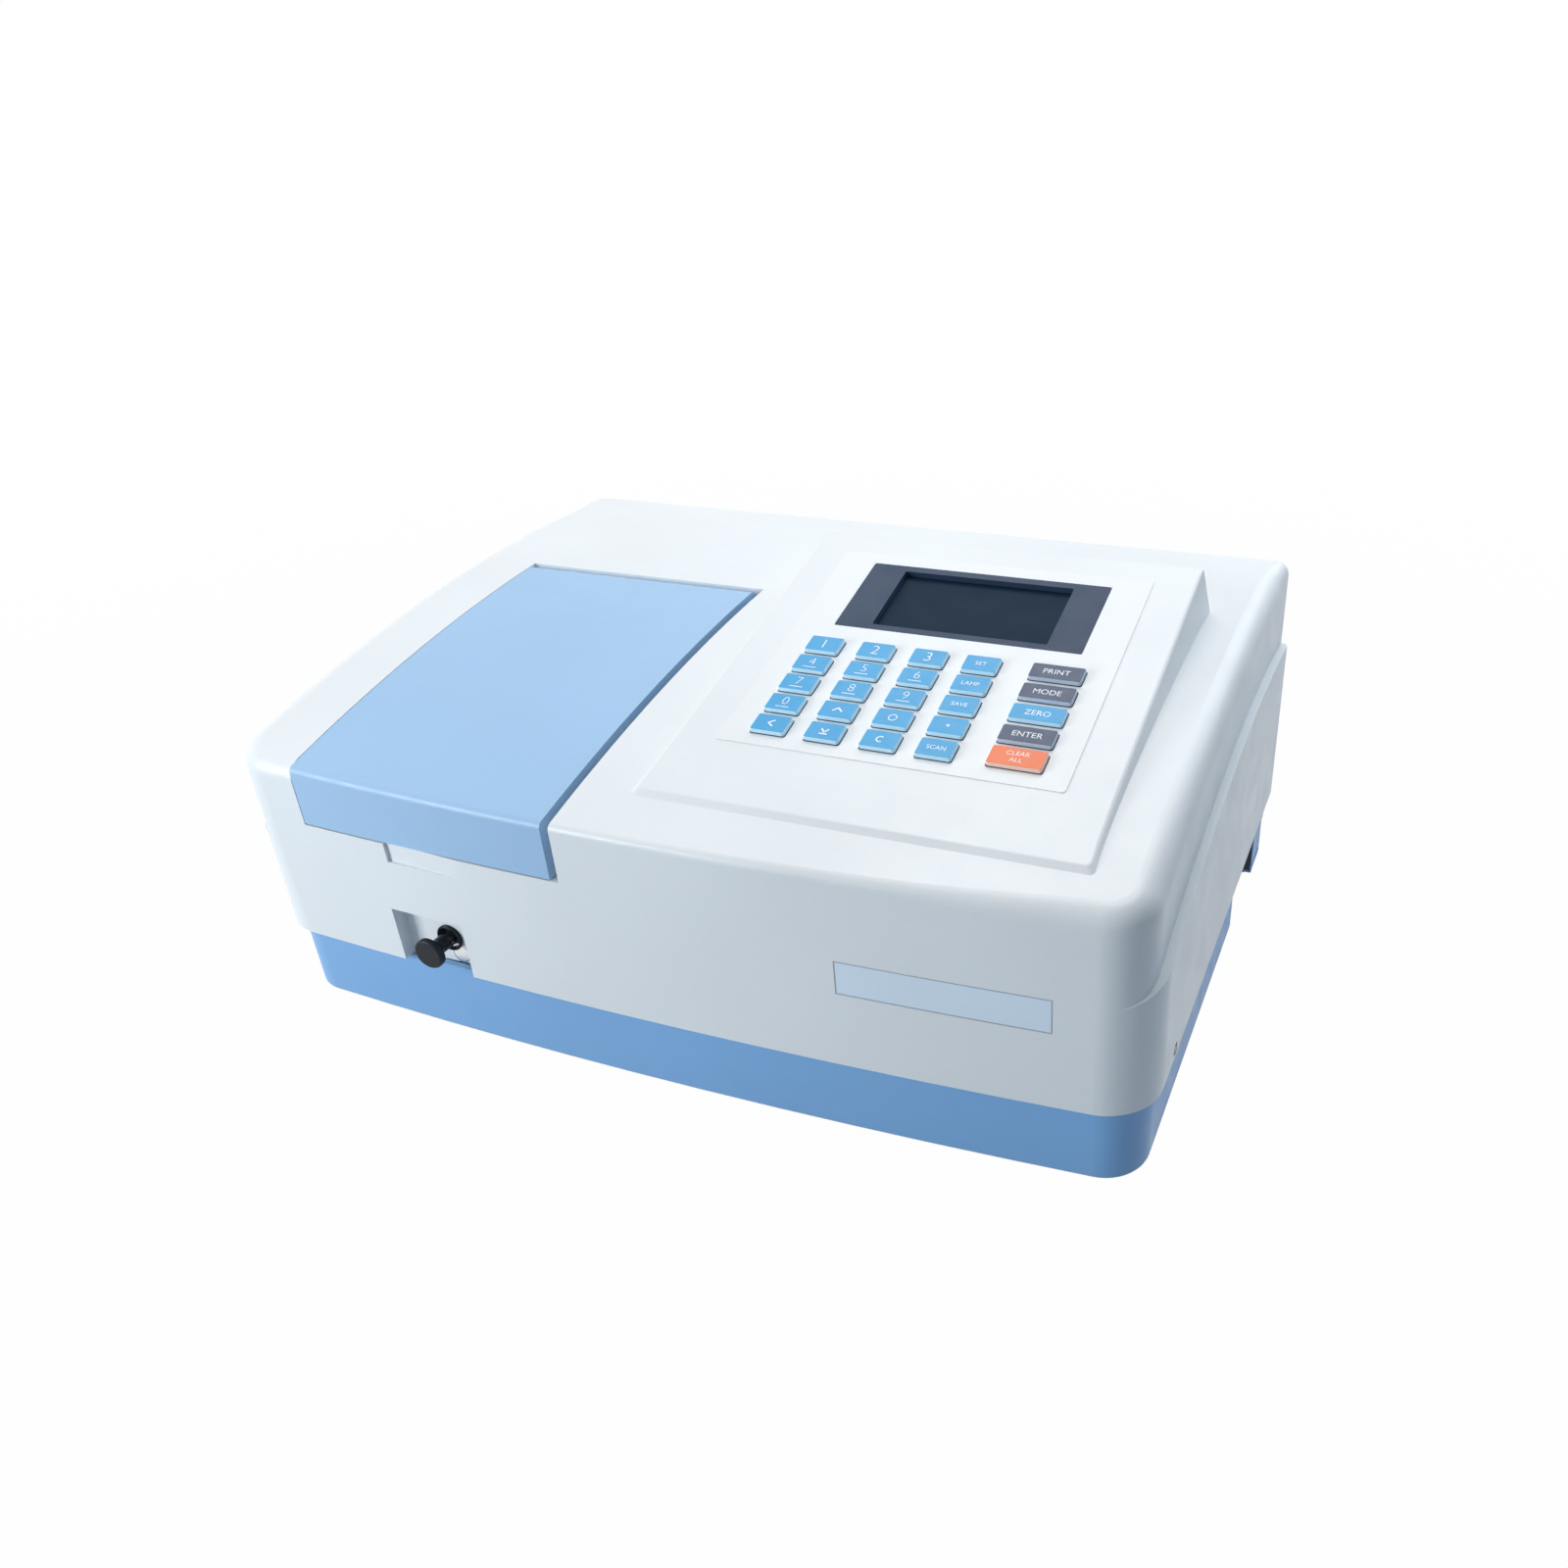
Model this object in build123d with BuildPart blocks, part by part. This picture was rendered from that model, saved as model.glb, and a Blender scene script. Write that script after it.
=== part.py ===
# Bench spectrophotometer with a hinged sample lid, a pull-rod cell changer and a sloping keypad console.
# Units are millimetres, +Z is up, the front faces -Y and the feet stand on Z = 0.
# The origin is under the middle of the whole instrument, halfway from the pull knob to the rear bumpers.
from build123d import *
from OCP.BRepFilletAPI import BRepFilletAPI_MakeFillet
import math
import os

os.makedirs("parts", exist_ok=True)

# Driving sizes of the case
WIDTH = 460.0
LEDGE = 4.0
WALL = 3.0
FRONT = -150.0
REAR = 162.5
CROWN = 8.2
COVER_LIP = 4.2
TUCK = 0.4
FOOT = 6.0
SEAM = FOOT + 40.0
TOP = 185.0
FRONT_HEIGHT = 145.0
APEX = FRONT + 280.0
CORNER = 25.0
REAR_CORNER = 12.0
TOP_FILLET = 11.0
FRONT_ROUND = 4.0
CORNER_ROUND = 9.0
REAR_RIM = 7.0
HALF = WIDTH / 2
UPPER_HALF = HALF - LEDGE
COVER_FRONT = FRONT - COVER_LIP
FIT_GAP = 0.4
ON_TOP = 1.0
RUNNING = 0.05

# Console slope and the keys on it
TILT = 16.07
CONSOLE_X = (-8.5, 196.0)
CONSOLE_V = (0.7, 206.5)
CONSOLE_Y = FRONT + 15.0
CONSOLE_Z = FOOT + 145.1
CONSOLE_SPREAD = 3.0
REAR_SPREAD = 9.5
CONSOLE_CORNER = 2.5
CONSOLE_EDGE = 2.0
FOOT_SINK = 0.3
SOLE_DEPTH = 15.0
LABEL = (11.5, 175.0, 37.6, 189.6)
BEZEL = (30.6, 156.3, 127.4, 181.4)
SCREEN = (49.3, 138.2, 131.6, 177.0)
KEY_X = (34.1, 60.7, 87.5, 113.7)
KEY_TOP_V = 109.5
KEY_PITCH_V = 14.8
KEY_SIZE = (17.0, 11.2)
WIDE_X = 149.8
WIDE_SIZE = (25.0, 10.4)
WIDE_TOP_V = 110.1
WIDE_PITCH_V = 14.55
LAST_KEY_EXTRA = 1.2
KEY_ROWS = 5
KEY_RISE = 2.3
KEY_TRAVEL = 1.0
LABEL_THICK = 0.4
LABEL_CORNER = 1.5

# Sample bay, lid and cell changer
LID_X = (-184.0, -41.0)
BAY_X = (-184.6, -36.5)
LID_REAR = FRONT + 187.4
BAY_REAR = FRONT + 188.6
DECK = FOOT + 107.0
LID_BOTTOM = DECK + 0.8
BARREL = 6.5
REAR_ROUND = 4.6
TRUNNION = 2.5
BEAM_Y = FRONT + 90.0
BEAM_Z = 84.0
ROD_X = -117.5
ROD_Z = FOOT + 54.0
CELL_PITCH = 20.0
CELL = 12.5
CELL_HEIGHT = 45.0
GUIDE_OFFSET = 17.5
GUIDE_R = 3.0
ROD_R = 3.0
LINER = (-174.0, -51.0, FRONT + 10.0, FRONT + 175.0)
LINER_WALL = 2.0
PORT_R = 8.0
LINER_FLOOR = 46.0

SCOOP_X = (-136.0, -88.0)
SCOOP_BACK = FRONT - 7.9
BUSHING_R = 6.0

# Recess round the pull knob and the blank plate on the front
KNOB_RECESS = (-142.5, -100.5, FOOT + 69.4)
KNOB_BACK = FRONT - 2.2
KNOB_FACE = FRONT - 18.5
PLATE = (95.0, 188.7, FOOT + 78.2, FOOT + 95.0)

# Rear panel and what stands behind the cover
PANEL_Y = (REAR - 6.2, REAR - 4.7)
PANEL_X = HALF - 24.0
PANEL_Z = (FOOT + WALL, 152.0)
INLET_X = 70.0 - HALF
INLET_Z = 78.0
ROCKER_Y = PANEL_Y[1] - 1.0
ROCKER_TILT = 8.0
ROCKER_Z = INLET_Z + 12.0
PORTS = [(-5.0, 15.5, 5.5), (35.0, 6.0, 5.5)]
PORT_Z = 62.0
FAN_X = HALF - 70.0
FAN_Z = 92.0
FAN = 60.0
BUMPER = 6.0

# Lamps and electronics inside
SOURCE_MIRROR = (150.0, FRONT + 130.0)
DEUTERIUM = (186.0, FRONT + 130.0)
HALOGEN = (150.0, FRONT + 178.0)
SUPPLY = (-186.0, -72.0, 54.0, 124.0)
SUPPLY_TOP = 66.0
CHIPS = [
    (-20, 2, 90, 112, 2.5), (20, 34, 80, 94, 1.8), (50, 58, 100, 124, 8.0), (70, 78, 100, 124, 8.0),
    (-25, -5, 45, 53, 6.0), (20, 60, 42, 52, 3.0), (84, 96, 60, 72, 10.0), (-30, -18, 62, 74, 10.0),
]

# Hand-holds in the base and its rear corner blocks
HOLD_Y = (FRONT + 207.0, FRONT + 276.0)
HOLD_DEPTH = 30.0
REAR_DROP = 3.5
HOLD_CORNER = 14.0
FOOT_R = 9.0
STUD_R = 3.0
BUMPER_X = HALF - 11.0
BUMPER_Z = 21.0
BUMPER_R = 6.0
FRONT_FOOT = (HALF - 40.0, FRONT + 34.0)
REAR_FOOT = (HALF - 14.0, REAR - 27.0)
FEET = [(side * x, y) for x, y in (FRONT_FOOT, REAR_FOOT) for side in (-1, 1)]

# Console plane, its origin on the front edge of the slope
SLOPE = math.radians(TILT)
CONSOLE = Plane(
    origin=(0, CONSOLE_Y, CONSOLE_Z),
    x_dir=(1, 0, 0),
    z_dir=(0, -math.sin(SLOPE), math.cos(SLOPE)),
)


def console_at(height):
    """Plane parallel to the console face, height above it."""
    return CONSOLE.offset(height)


def box(x0, x1, y0, y1, z0, z1):
    """Plain block between two corners."""
    with BuildPart() as block:
        with Locations(((x0 + x1) / 2, (y0 + y1) / 2, (z0 + z1) / 2)):
            Box(x1 - x0, y1 - y0, z1 - z0)
    return block.part


def rod(radius, start, end):
    """Round bar from start to end, along X, Y or Z."""
    a, b = Vector(*start), Vector(*end)
    with BuildPart() as bar:
        with BuildSketch(Plane(origin=a, z_dir=b - a)):
            Circle(radius)
        extrude(amount=(b - a).length)
    return bar.part


def face_box(x0, x1, v0, v1, low, high, corner):
    """Block on the console slope with rounded upright edges, between two heights above the face."""
    with BuildPart() as pad:
        with BuildSketch(console_at(low)):
            with Locations(((x0 + x1) / 2, (v0 + v1) / 2)):
                RectangleRounded(x1 - x0, v1 - v0, corner)
        extrude(amount=high - low)
    return pad.part


def plan(half, front, rear, corner):
    """Outline of the case from above: bowed front on one common arc, and tighter corners at the rear."""
    bow = (HALF ** 2 + CROWN ** 2) / (2 * CROWN)
    side = front - CROWN + bow - math.sqrt(bow ** 2 - half ** 2)
    with BuildSketch() as outline:
        with BuildLine():
            ThreePointArc((-half, side), (0, front - CROWN), (half, side))
            Polyline((half, side), (half, rear), (-half, rear), (-half, side))
        make_face()
        fillet(outline.vertices().group_by(Axis.Y)[-1], corner - CORNER + REAR_CORNER)
        fillet(outline.vertices().group_by(Axis.Y)[0], corner)
    return outline.sketch


def top_z(y):
    """Height of the cover's top at a depth, a parabola that levels off at the apex."""
    reach = max(APEX - y, 0) / (APEX - FRONT)
    return TOP - (TOP - FRONT_HEIGHT) * reach ** 2


def under_top(drop, floor):
    """Side view of everything below the cover's top, lowered by drop."""
    start = FRONT - 40
    with BuildSketch() as side:
        with BuildLine():
            Bezier((start, top_z(start) - drop), ((start + APEX) / 2, TOP - drop), (APEX, TOP - drop))
            Polyline((APEX, TOP - drop), (REAR + 20, TOP - drop), (REAR + 20, floor), (start, floor))
            Line((start, floor), (start, top_z(start) - drop))
        make_face()
    return side.sketch


def under_ledge(drop, floor):
    """Side view of everything below the curved ledge on the cover's sides."""
    front, rear = FRONT - 14, REAR + 5
    low, mid, high = FOOT + 90 - drop, FOOT + 124 - drop, FOOT + 130 - drop
    with BuildSketch() as side:
        with BuildLine():
            ThreePointArc((front, low), (FRONT + 100, mid), (rear, high))
            Polyline((rear, high), (rear, floor), (front, floor), (front, low))
        make_face()
    return side.sketch


def case_body(inset, floor):
    """Upper body of the cover with every wall moved in by inset."""
    with BuildPart() as body:
        with BuildSketch(Plane.XY.offset(floor)):
            add(plan(UPPER_HALF - inset, COVER_FRONT + inset, REAR - inset, CORNER - LEDGE - inset))
        extrude(amount=TOP)
        with BuildSketch(Plane.YZ):
            add(under_top(inset, floor))
        extrude(amount=WIDTH, both=True, mode=Mode.INTERSECT)
    return body.part


def ledge_body(inset, floor):
    """Wider lower body of the cover, up to the ledge."""
    with BuildPart() as body:
        with BuildSketch(Plane.XY.offset(floor)):
            add(plan(HALF - inset, COVER_FRONT + TUCK + inset, REAR - TUCK - inset, CORNER - inset))
        extrude(amount=TOP)
        with BuildSketch(Plane.YZ):
            add(under_ledge(inset * 1.5, floor))
        extrude(amount=WIDTH, both=True, mode=Mode.INTERSECT)
    return body.part


def console_body(inset):
    """Sloping island that carries the keypad, from its foot on the cover up to its face."""
    x0, x1 = CONSOLE_X
    v0, v1 = CONSOLE_V
    y0 = CONSOLE_Y + v0 * math.cos(SLOPE) - CONSOLE_SPREAD
    y1 = CONSOLE_Y + v1 * math.cos(SLOPE) + REAR_SPREAD
    start, stop = Vector(0, y0, top_z(y0)), Vector(0, y1, top_z(y1))
    run = (stop - start).length
    foot_plane = Plane(origin=start, x_dir=(1, 0, 0), z_dir=Vector(1, 0, 0).cross(stop - start))
    with BuildPart() as island:
        with BuildSketch(foot_plane.offset(-inset - FOOT_SINK)) as sole:
            with Locations(((x0 + x1) / 2, run / 2)):
                RectangleRounded(x1 - x0 + 2 * (CONSOLE_SPREAD - inset), run - 2 * inset, CONSOLE_CORNER)
        with BuildSketch(CONSOLE.offset(-inset)):
            with Locations(((x0 + x1) / 2, (v0 + v1) / 2)):
                RectangleRounded(x1 - x0 - 2 * inset, v1 - v0 - 2 * inset, CONSOLE_CORNER)
        loft()
        if not inset:
            fillet(island.faces().sort_by(Axis((0, 0, 0), CONSOLE.z_dir))[-1].edges(), CONSOLE_EDGE)
        extrude(sole.sketch, amount=-SOLE_DEPTH)
    return island.part


def round_rim(body, thinner):
    """Body with its top rim rounded: tight along the front, softer round the corners, sides and rear."""
    solid = body.solids()[0]
    rim = solid.edges().filter_by(lambda e: e.center().Z > top_z(e.center().Y) - thinner - ON_TOP)
    rounder = BRepFilletAPI_MakeFillet(solid.wrapped)
    rounder.Add(rim[0].wrapped)
    for n in range(1, rounder.NbEdges(1) + 1):
        edge = Edge(rounder.Edge(1, n))
        radii = []
        for end in (edge @ 0, edge @ 1):
            if end.Y > APEX + ON_TOP:
                radius = REAR_RIM
            elif end.Y > FRONT:
                radius = TOP_FILLET
            elif abs(end.X) > HALF / 2:
                radius = CORNER_ROUND
            else:
                radius = FRONT_ROUND
            radii.append(radius - thinner)
        rounder.SetRadius(*radii, 1, n)
    return Solid(rounder.Shape())


# Top cover: outer skin, hollow inside, with the sample bay, knob recess and console
with BuildPart() as skin:
    add(round_rim(case_body(0, SEAM), 0))
    add(ledge_body(0, SEAM))
    add(console_body(0))

# Places of the keys on the slope: x, v, width, depth and name
KEYS = []
for row in range(KEY_ROWS):
    last = row == KEY_ROWS - 1
    for column, x in enumerate(KEY_X):
        KEYS.append((x, KEY_TOP_V - row * KEY_PITCH_V, *KEY_SIZE, f"key_{row + 1}_{column + 1}"))
    wide_v = WIDE_TOP_V - row * WIDE_PITCH_V
    wide_depth = WIDE_SIZE[1] + (LAST_KEY_EXTRA if last else 0)
    KEYS.append((WIDE_X, wide_v, WIDE_SIZE[0], wide_depth, f"key_wide_{row + 1}"))


def key_opening(key, grow, low, high):
    """Block the size of one key, grown all round, between two heights above the console face."""
    x, v, wide, deep, _ = key
    return face_box(
        x - wide / 2 - grow, x + wide / 2 + grow, v - deep / 2 - grow, v + deep / 2 + grow, low, high, 1.2
    )


# Axis of the lid's hinge
HINGE_Y = LID_REAR - BARREL
HINGE_Z = top_z(LID_REAR) - BARREL
BAY_WALL = 3.0
TRUNNION_REACH = 2.6

# Places of the screws that hold the cover to the base's ears
SCREW_Y = FRONT + 41.0
SCREWS = [(side, SCREW_Y) for side in (-1, 1)]
SCREW_Z = SEAM + 4.5
SCREW_R = 1.5
HEAD_R = 3.0
HEAD = 1.4

with BuildPart() as hollow:
    add(round_rim(case_body(WALL, SEAM - 1), WALL))
    add(ledge_body(WALL, SEAM - 1))
    add(console_body(WALL))

bay_block = box(
    BAY_X[0] - BAY_WALL, BAY_X[1] + BAY_WALL, COVER_FRONT - CROWN, BAY_REAR + BAY_WALL, DECK - WALL, TOP
)
recess_block = box(
    KNOB_RECESS[0] - WALL, KNOB_RECESS[1] + WALL, COVER_FRONT - CROWN, KNOB_BACK + WALL, SEAM,
    KNOB_RECESS[2] + WALL,
)


def front_layer(outer, inner, margin):
    """Thin layer of the bowed front face behind the blank plate."""
    x0, x1, z0, z1 = PLATE
    with BuildPart() as layer:
        add(box(x0 + margin, x1 - margin, FRONT - 40, FRONT, z0 + margin, z1 - margin))
        add(case_body(outer, SEAM), mode=Mode.INTERSECT)
        add(case_body(inner, SEAM), mode=Mode.SUBTRACT)
    return layer.part


PLATE_DEPTH = 0.8
SEAT_RIM = 3.0
with BuildPart() as rim_ring:
    with BuildSketch(Plane.XY.offset(SEAM)):
        add(plan(HALF - 1, COVER_FRONT + 1, REAR - 1, CORNER - 1))
        add(
            plan(UPPER_HALF - WALL, FRONT + WALL, REAR - 1.5 - WALL, CORNER - LEDGE - WALL),
            mode=Mode.SUBTRACT,
        )
    extrude(amount=SEAT_RIM)

# Walls and deck of the sample bay, the pocket round the knob and the rear opening's rim
with BuildPart() as webs:
    add(bay_block)
    add(recess_block)
    add(rim_ring.part)
    add(box(-PANEL_X, PANEL_X, PANEL_Y[1] + 0.1, REAR - 1, SEAM, PANEL_Z[1] + 6))
    add(skin.part, mode=Mode.INTERSECT)

with BuildPart() as cover:
    add(skin.part)
    add(hollow.part, mode=Mode.SUBTRACT)
    add(webs.part)
    add(box(BAY_X[0], BAY_X[1], FRONT - 40, BAY_REAR, DECK, TOP + 20), mode=Mode.SUBTRACT)
    add(
        box(LINER[0] - 0.5, LINER[1] + 0.5, LINER[2] - 0.5, LINER[3] + 0.5, DECK - 10, DECK + 10),
        mode=Mode.SUBTRACT,
    )
    add(box(*KNOB_RECESS[:2], FRONT - 40, KNOB_BACK, SEAM - 5, KNOB_RECESS[2]), mode=Mode.SUBTRACT)
    add(box(-PANEL_X + 6, PANEL_X - 6, REAR - 10, REAR + 5, SEAM - 5, PANEL_Z[1]), mode=Mode.SUBTRACT)
    # Shallow finger scoop under the lid's front edge and the seat of the blank plate
    with BuildSketch(Plane.XY.offset(DECK - 10.0)):
        Polygon(
            (SCOOP_X[0], SCOOP_BACK),
            (SCOOP_X[0], FRONT - 40),
            (SCOOP_X[1], FRONT - 40),
            (SCOOP_X[1], COVER_FRONT - CROWN + 1.0),
            align=None,
        )
    extrude(amount=20, mode=Mode.SUBTRACT)
    add(front_layer(0, PLATE_DEPTH, 0), mode=Mode.SUBTRACT)
    # Bores for the lid's trunnions, the rod's bushing and the side screws
    for x in (BAY_X[0] - BAY_WALL - 1, BAY_X[1] - 1):
        bore = rod(TRUNNION + RUNNING, (x, HINGE_Y, HINGE_Z), (x + BAY_WALL + 2, HINGE_Y, HINGE_Z))
        add(bore, mode=Mode.SUBTRACT)
    add(rod(BUSHING_R, (ROD_X, KNOB_BACK - 1, ROD_Z), (ROD_X, KNOB_BACK + 5, ROD_Z)), mode=Mode.SUBTRACT)
    for side, y in SCREWS:
        outer, inner = side * (HALF + 3), side * (HALF - 8)
        add(rod(SCREW_R + 0.3, (inner, y, SCREW_Z), (outer, y, SCREW_Z)), mode=Mode.SUBTRACT)
        add(rod(HEAD_R + 0.5, (side * (HALF - HEAD), y, SCREW_Z), (outer, y, SCREW_Z)), mode=Mode.SUBTRACT)
    # Openings in the console face for the keys and the screen
    for key in KEYS:
        add(key_opening(key, FIT_GAP, -6, 4), mode=Mode.SUBTRACT)
    add(face_box(*BEZEL, -6, 4, 1.0), mode=Mode.SUBTRACT)
cover.part.label = "top_cover"

# Blank plate let into the front
nameplate = front_layer(0.1, PLATE_DEPTH, 0.2)
nameplate.label = "nameplate"

# Base: blue pan with a hand-hold scooped out of each side and lower rear corner blocks
BASE_REAR = REAR - 1.5
FLOOR = FOOT + WALL
hold_inner = UPPER_HALF - HOLD_DEPTH


def hand_holds(grow, low, high):
    """The two scoops, grown all round, between two heights."""
    with BuildPart() as scoops:
        with BuildSketch(Plane.XY.offset(low)):
            for side in (-1, 1):
                with Locations((side * (hold_inner + HOLD_DEPTH), (HOLD_Y[0] + HOLD_Y[1]) / 2)):
                    RectangleRounded(
                        2 * HOLD_DEPTH + 2 * grow, HOLD_Y[1] - HOLD_Y[0] + 2 * grow, HOLD_CORNER + grow
                    )
        extrude(amount=high - low)
    return scoops.part


with BuildPart() as pan_hollow:
    with BuildSketch(Plane.XY.offset(FLOOR)):
        add(plan(UPPER_HALF - WALL, FRONT + WALL, BASE_REAR - WALL, CORNER - LEDGE - WALL))
    extrude(amount=SEAM)
    add(hand_holds(WALL, FLOOR - 1, SEAM), mode=Mode.SUBTRACT)

with BuildPart() as corner_blocks:
    with BuildSketch(Plane.XY.offset(FOOT - REAR_DROP)):
        add(plan(UPPER_HALF, FRONT, BASE_REAR, CORNER - LEDGE))
    extrude(amount=REAR_DROP)
    add(box(-hold_inner, hold_inner, FRONT - 20, REAR, 0, SEAM), mode=Mode.SUBTRACT)
    add(box(-HALF, HALF, FRONT - 20, HOLD_Y[1], 0, SEAM), mode=Mode.SUBTRACT)

POSTS = [(-38, FRONT + 33), (82, FRONT + 33), (-38, FRONT + 157), (82, FRONT + 157)]
BOARD_POSTS = [(-32, 38), (102, 38), (-32, 127), (102, 127)]
POST_TOP = 30.0
BOARD_Z = 18.0
with BuildPart() as base:
    with BuildSketch(Plane.XY.offset(FOOT)):
        add(plan(UPPER_HALF, FRONT, BASE_REAR, CORNER - LEDGE))
    extrude(amount=SEAM - FOOT)
    fillet(base.faces().sort_by(Axis.Z)[0].edges(), 2.5)
    add(corner_blocks.part)
    add(hand_holds(0, 0, SEAM - WALL), mode=Mode.SUBTRACT)
    add(pan_hollow.part, mode=Mode.SUBTRACT)
    # Ears that take the cover's side screws
    for side, y in SCREWS:
        x0, x1 = sorted((side * (UPPER_HALF - 8), side * (UPPER_HALF - 4.5)))
        add(box(x0, x1, y - 7, y + 7, FLOOR, SEAM + 12))
        x0, x1 = sorted((side * (UPPER_HALF - 6), side * (UPPER_HALF - 2)))
        add(box(x0, x1, y - 7, y + 7, FLOOR, SEAM))
        inner, outer = side * (UPPER_HALF - 10), side * (UPPER_HALF - 3)
        add(rod(SCREW_R + RUNNING, (inner, y, SCREW_Z), (outer, y, SCREW_Z)), mode=Mode.SUBTRACT)
    # Posts for the optics case and the main board
    for x, y in POSTS:
        add(rod(5, (x, y, FLOOR - 1), (x, y, POST_TOP)))
    for x, y in BOARD_POSTS:
        add(rod(3.5, (x, y, FLOOR - 1), (x, y, BOARD_Z)))
    # Holes for the feet, bumpers and cooling air
    for x, y in FEET:
        add(rod(STUD_R, (x, y, 0), (x, y, FLOOR + 5)), mode=Mode.SUBTRACT)
        add(rod(FOOT_R + 0.4, (x, y, -1), (x, y, FOOT)), mode=Mode.SUBTRACT)
    for side in (-1, 1):
        add(
            rod(BUMPER_R + 0.05, (side * BUMPER_X, BASE_REAR - 9, BUMPER_Z), (side * BUMPER_X, REAR + 9, BUMPER_Z)),
            mode=Mode.SUBTRACT,
        )
    with BuildSketch(Plane.XY.offset(FOOT - 1)):
        with Locations((168, -10)):
            with GridLocations(0, 12, 1, 7):
                SlotOverall(64, 4)
        with Locations((-129, 89)):
            with GridLocations(0, 12, 1, 5):
                SlotOverall(90, 4)
    extrude(amount=WALL + 2, mode=Mode.SUBTRACT)
base.part.label = "base_tray"

# Sample lid: hollow cap with a rolled rear edge and a trunnion on each flank
with BuildPart() as lid_side:
    with BuildSketch(Plane.YZ):
        Polygon(
            (FRONT - 40, LID_BOTTOM),
            (FRONT + 12, LID_BOTTOM),
            (HINGE_Y - 14, HINGE_Z - BARREL),
            (LID_REAR, HINGE_Z - BARREL),
            (LID_REAR, TOP + 10),
            (FRONT - 40, TOP + 10),
            align=None,
        )
    extrude(amount=LID_X[0])
with BuildPart() as lid:
    add(box(*LID_X, FRONT - 40, LID_REAR, LID_BOTTOM, TOP + 5))
    add(case_body(0, SEAM), mode=Mode.INTERSECT)
    add(lid_side.part, mode=Mode.INTERSECT)
    long_rear = lid.edges().filter_by(lambda e: e.length > BARREL * 10).group_by(Axis.Y)[-1]
    lower_rear, upper_rear = long_rear.sort_by(Axis.Z)
    fillet(lower_rear, BARREL - 0.3)
    fillet(upper_rear, REAR_ROUND)
    front_top = lid.edges().filter_by(lambda e: e.center().Y < FRONT and e.center().Z > LID_BOTTOM + 5)
    fillet(front_top.sort_by(Axis.Z)[-1], 3.5)
    with BuildPart(mode=Mode.PRIVATE) as lid_hollow:
        add(case_body(WALL, SEAM))
        add(
            box(
                LID_X[0] + WALL, LID_X[1] - WALL, FRONT - 40, HINGE_Y - BARREL - 4, LID_BOTTOM - 5, TOP + 5
            ),
            mode=Mode.INTERSECT,
        )
    add(lid_hollow.part, mode=Mode.SUBTRACT)
    for inner, outer in (
        (LID_X[0] + 1, BAY_X[0] - TRUNNION_REACH),
        (LID_X[1] - 1, BAY_X[1] + TRUNNION_REACH),
    ):
        add(rod(TRUNNION, (inner, HINGE_Y, HINGE_Z), (outer, HINGE_Y, HINGE_Z)))
lid.part.label = "sample_lid"

# Liner of the sample bay: deep tray with light ports and holes for the rods
with BuildPart() as liner:
    x0, x1, y0, y1 = LINER
    add(box(x0, x1, y0, y1, LINER_FLOOR, DECK + LINER_WALL))
    add(box(x0 - 5, x1 + 5, y0 - 5, y1 + 6, DECK, DECK + LINER_WALL))
    add(
        box(
            x0 + LINER_WALL, x1 - LINER_WALL, y0 + LINER_WALL, y1 - LINER_WALL, LINER_FLOOR + LINER_WALL, TOP
        ),
        mode=Mode.SUBTRACT,
    )
    add(rod(PORT_R, (x0 - 5, BEAM_Y, BEAM_Z), (x1 + 5, BEAM_Y, BEAM_Z)), mode=Mode.SUBTRACT)
    add(rod(ROD_R + 0.5, (ROD_X, y0 - 2, ROD_Z), (ROD_X, y0 + 5, ROD_Z)), mode=Mode.SUBTRACT)
    for side in (-1, 1):
        x = ROD_X + side * GUIDE_OFFSET
        add(rod(GUIDE_R + RUNNING, (x, y0 - 2, ROD_Z), (x, y1 + 2, ROD_Z)), mode=Mode.SUBTRACT)
liner.part.label = "chamber_liner"

# Guide rods fixed in the liner's end walls
with BuildPart() as guides:
    for side in (-1, 1):
        x = ROD_X + side * GUIDE_OFFSET
        add(rod(GUIDE_R, (x, LINER[2] - 1, ROD_Z), (x, LINER[3] + 1, ROD_Z)))
guides.part.label = "guide_rods"

# Cell carriage with four pockets, sliding on the guide rods
CARRIAGE_FRONT = BEAM_Y - 12
CARRIAGE_REAR = BEAM_Y + 3 * CELL_PITCH + 12
POCKET = CELL + 0.3
CELL_BOTTOM = 69.0
with BuildPart() as carriage:
    add(box(ROD_X - 24, ROD_X + 24, CARRIAGE_FRONT, CARRIAGE_REAR, ROD_Z - 6, ROD_Z + 7))
    add(box(ROD_X - 12, ROD_X + 12, CARRIAGE_FRONT, CARRIAGE_REAR, ROD_Z + 7, CELL_BOTTOM + 28))
    for n in range(4):
        y = BEAM_Y + n * CELL_PITCH
        add(
            box(ROD_X - POCKET / 2, ROD_X + POCKET / 2, y - POCKET / 2, y + POCKET / 2, CELL_BOTTOM, TOP),
            mode=Mode.SUBTRACT,
        )
        add(box(ROD_X - 20, ROD_X + 20, y - 3, y + 3, BEAM_Z - 8, BEAM_Z + 8), mode=Mode.SUBTRACT)
    for side in (-1, 1):
        x = ROD_X + side * GUIDE_OFFSET
        add(rod(GUIDE_R + RUNNING, (x, LINER[2], ROD_Z), (x, LINER[3], ROD_Z)), mode=Mode.SUBTRACT)
    add(rod(ROD_R + RUNNING, (ROD_X, CARRIAGE_FRONT - 1, ROD_Z), (ROD_X, CARRIAGE_FRONT + 13, ROD_Z)), mode=Mode.SUBTRACT)
carriage.part.label = "cell_carriage"

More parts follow.
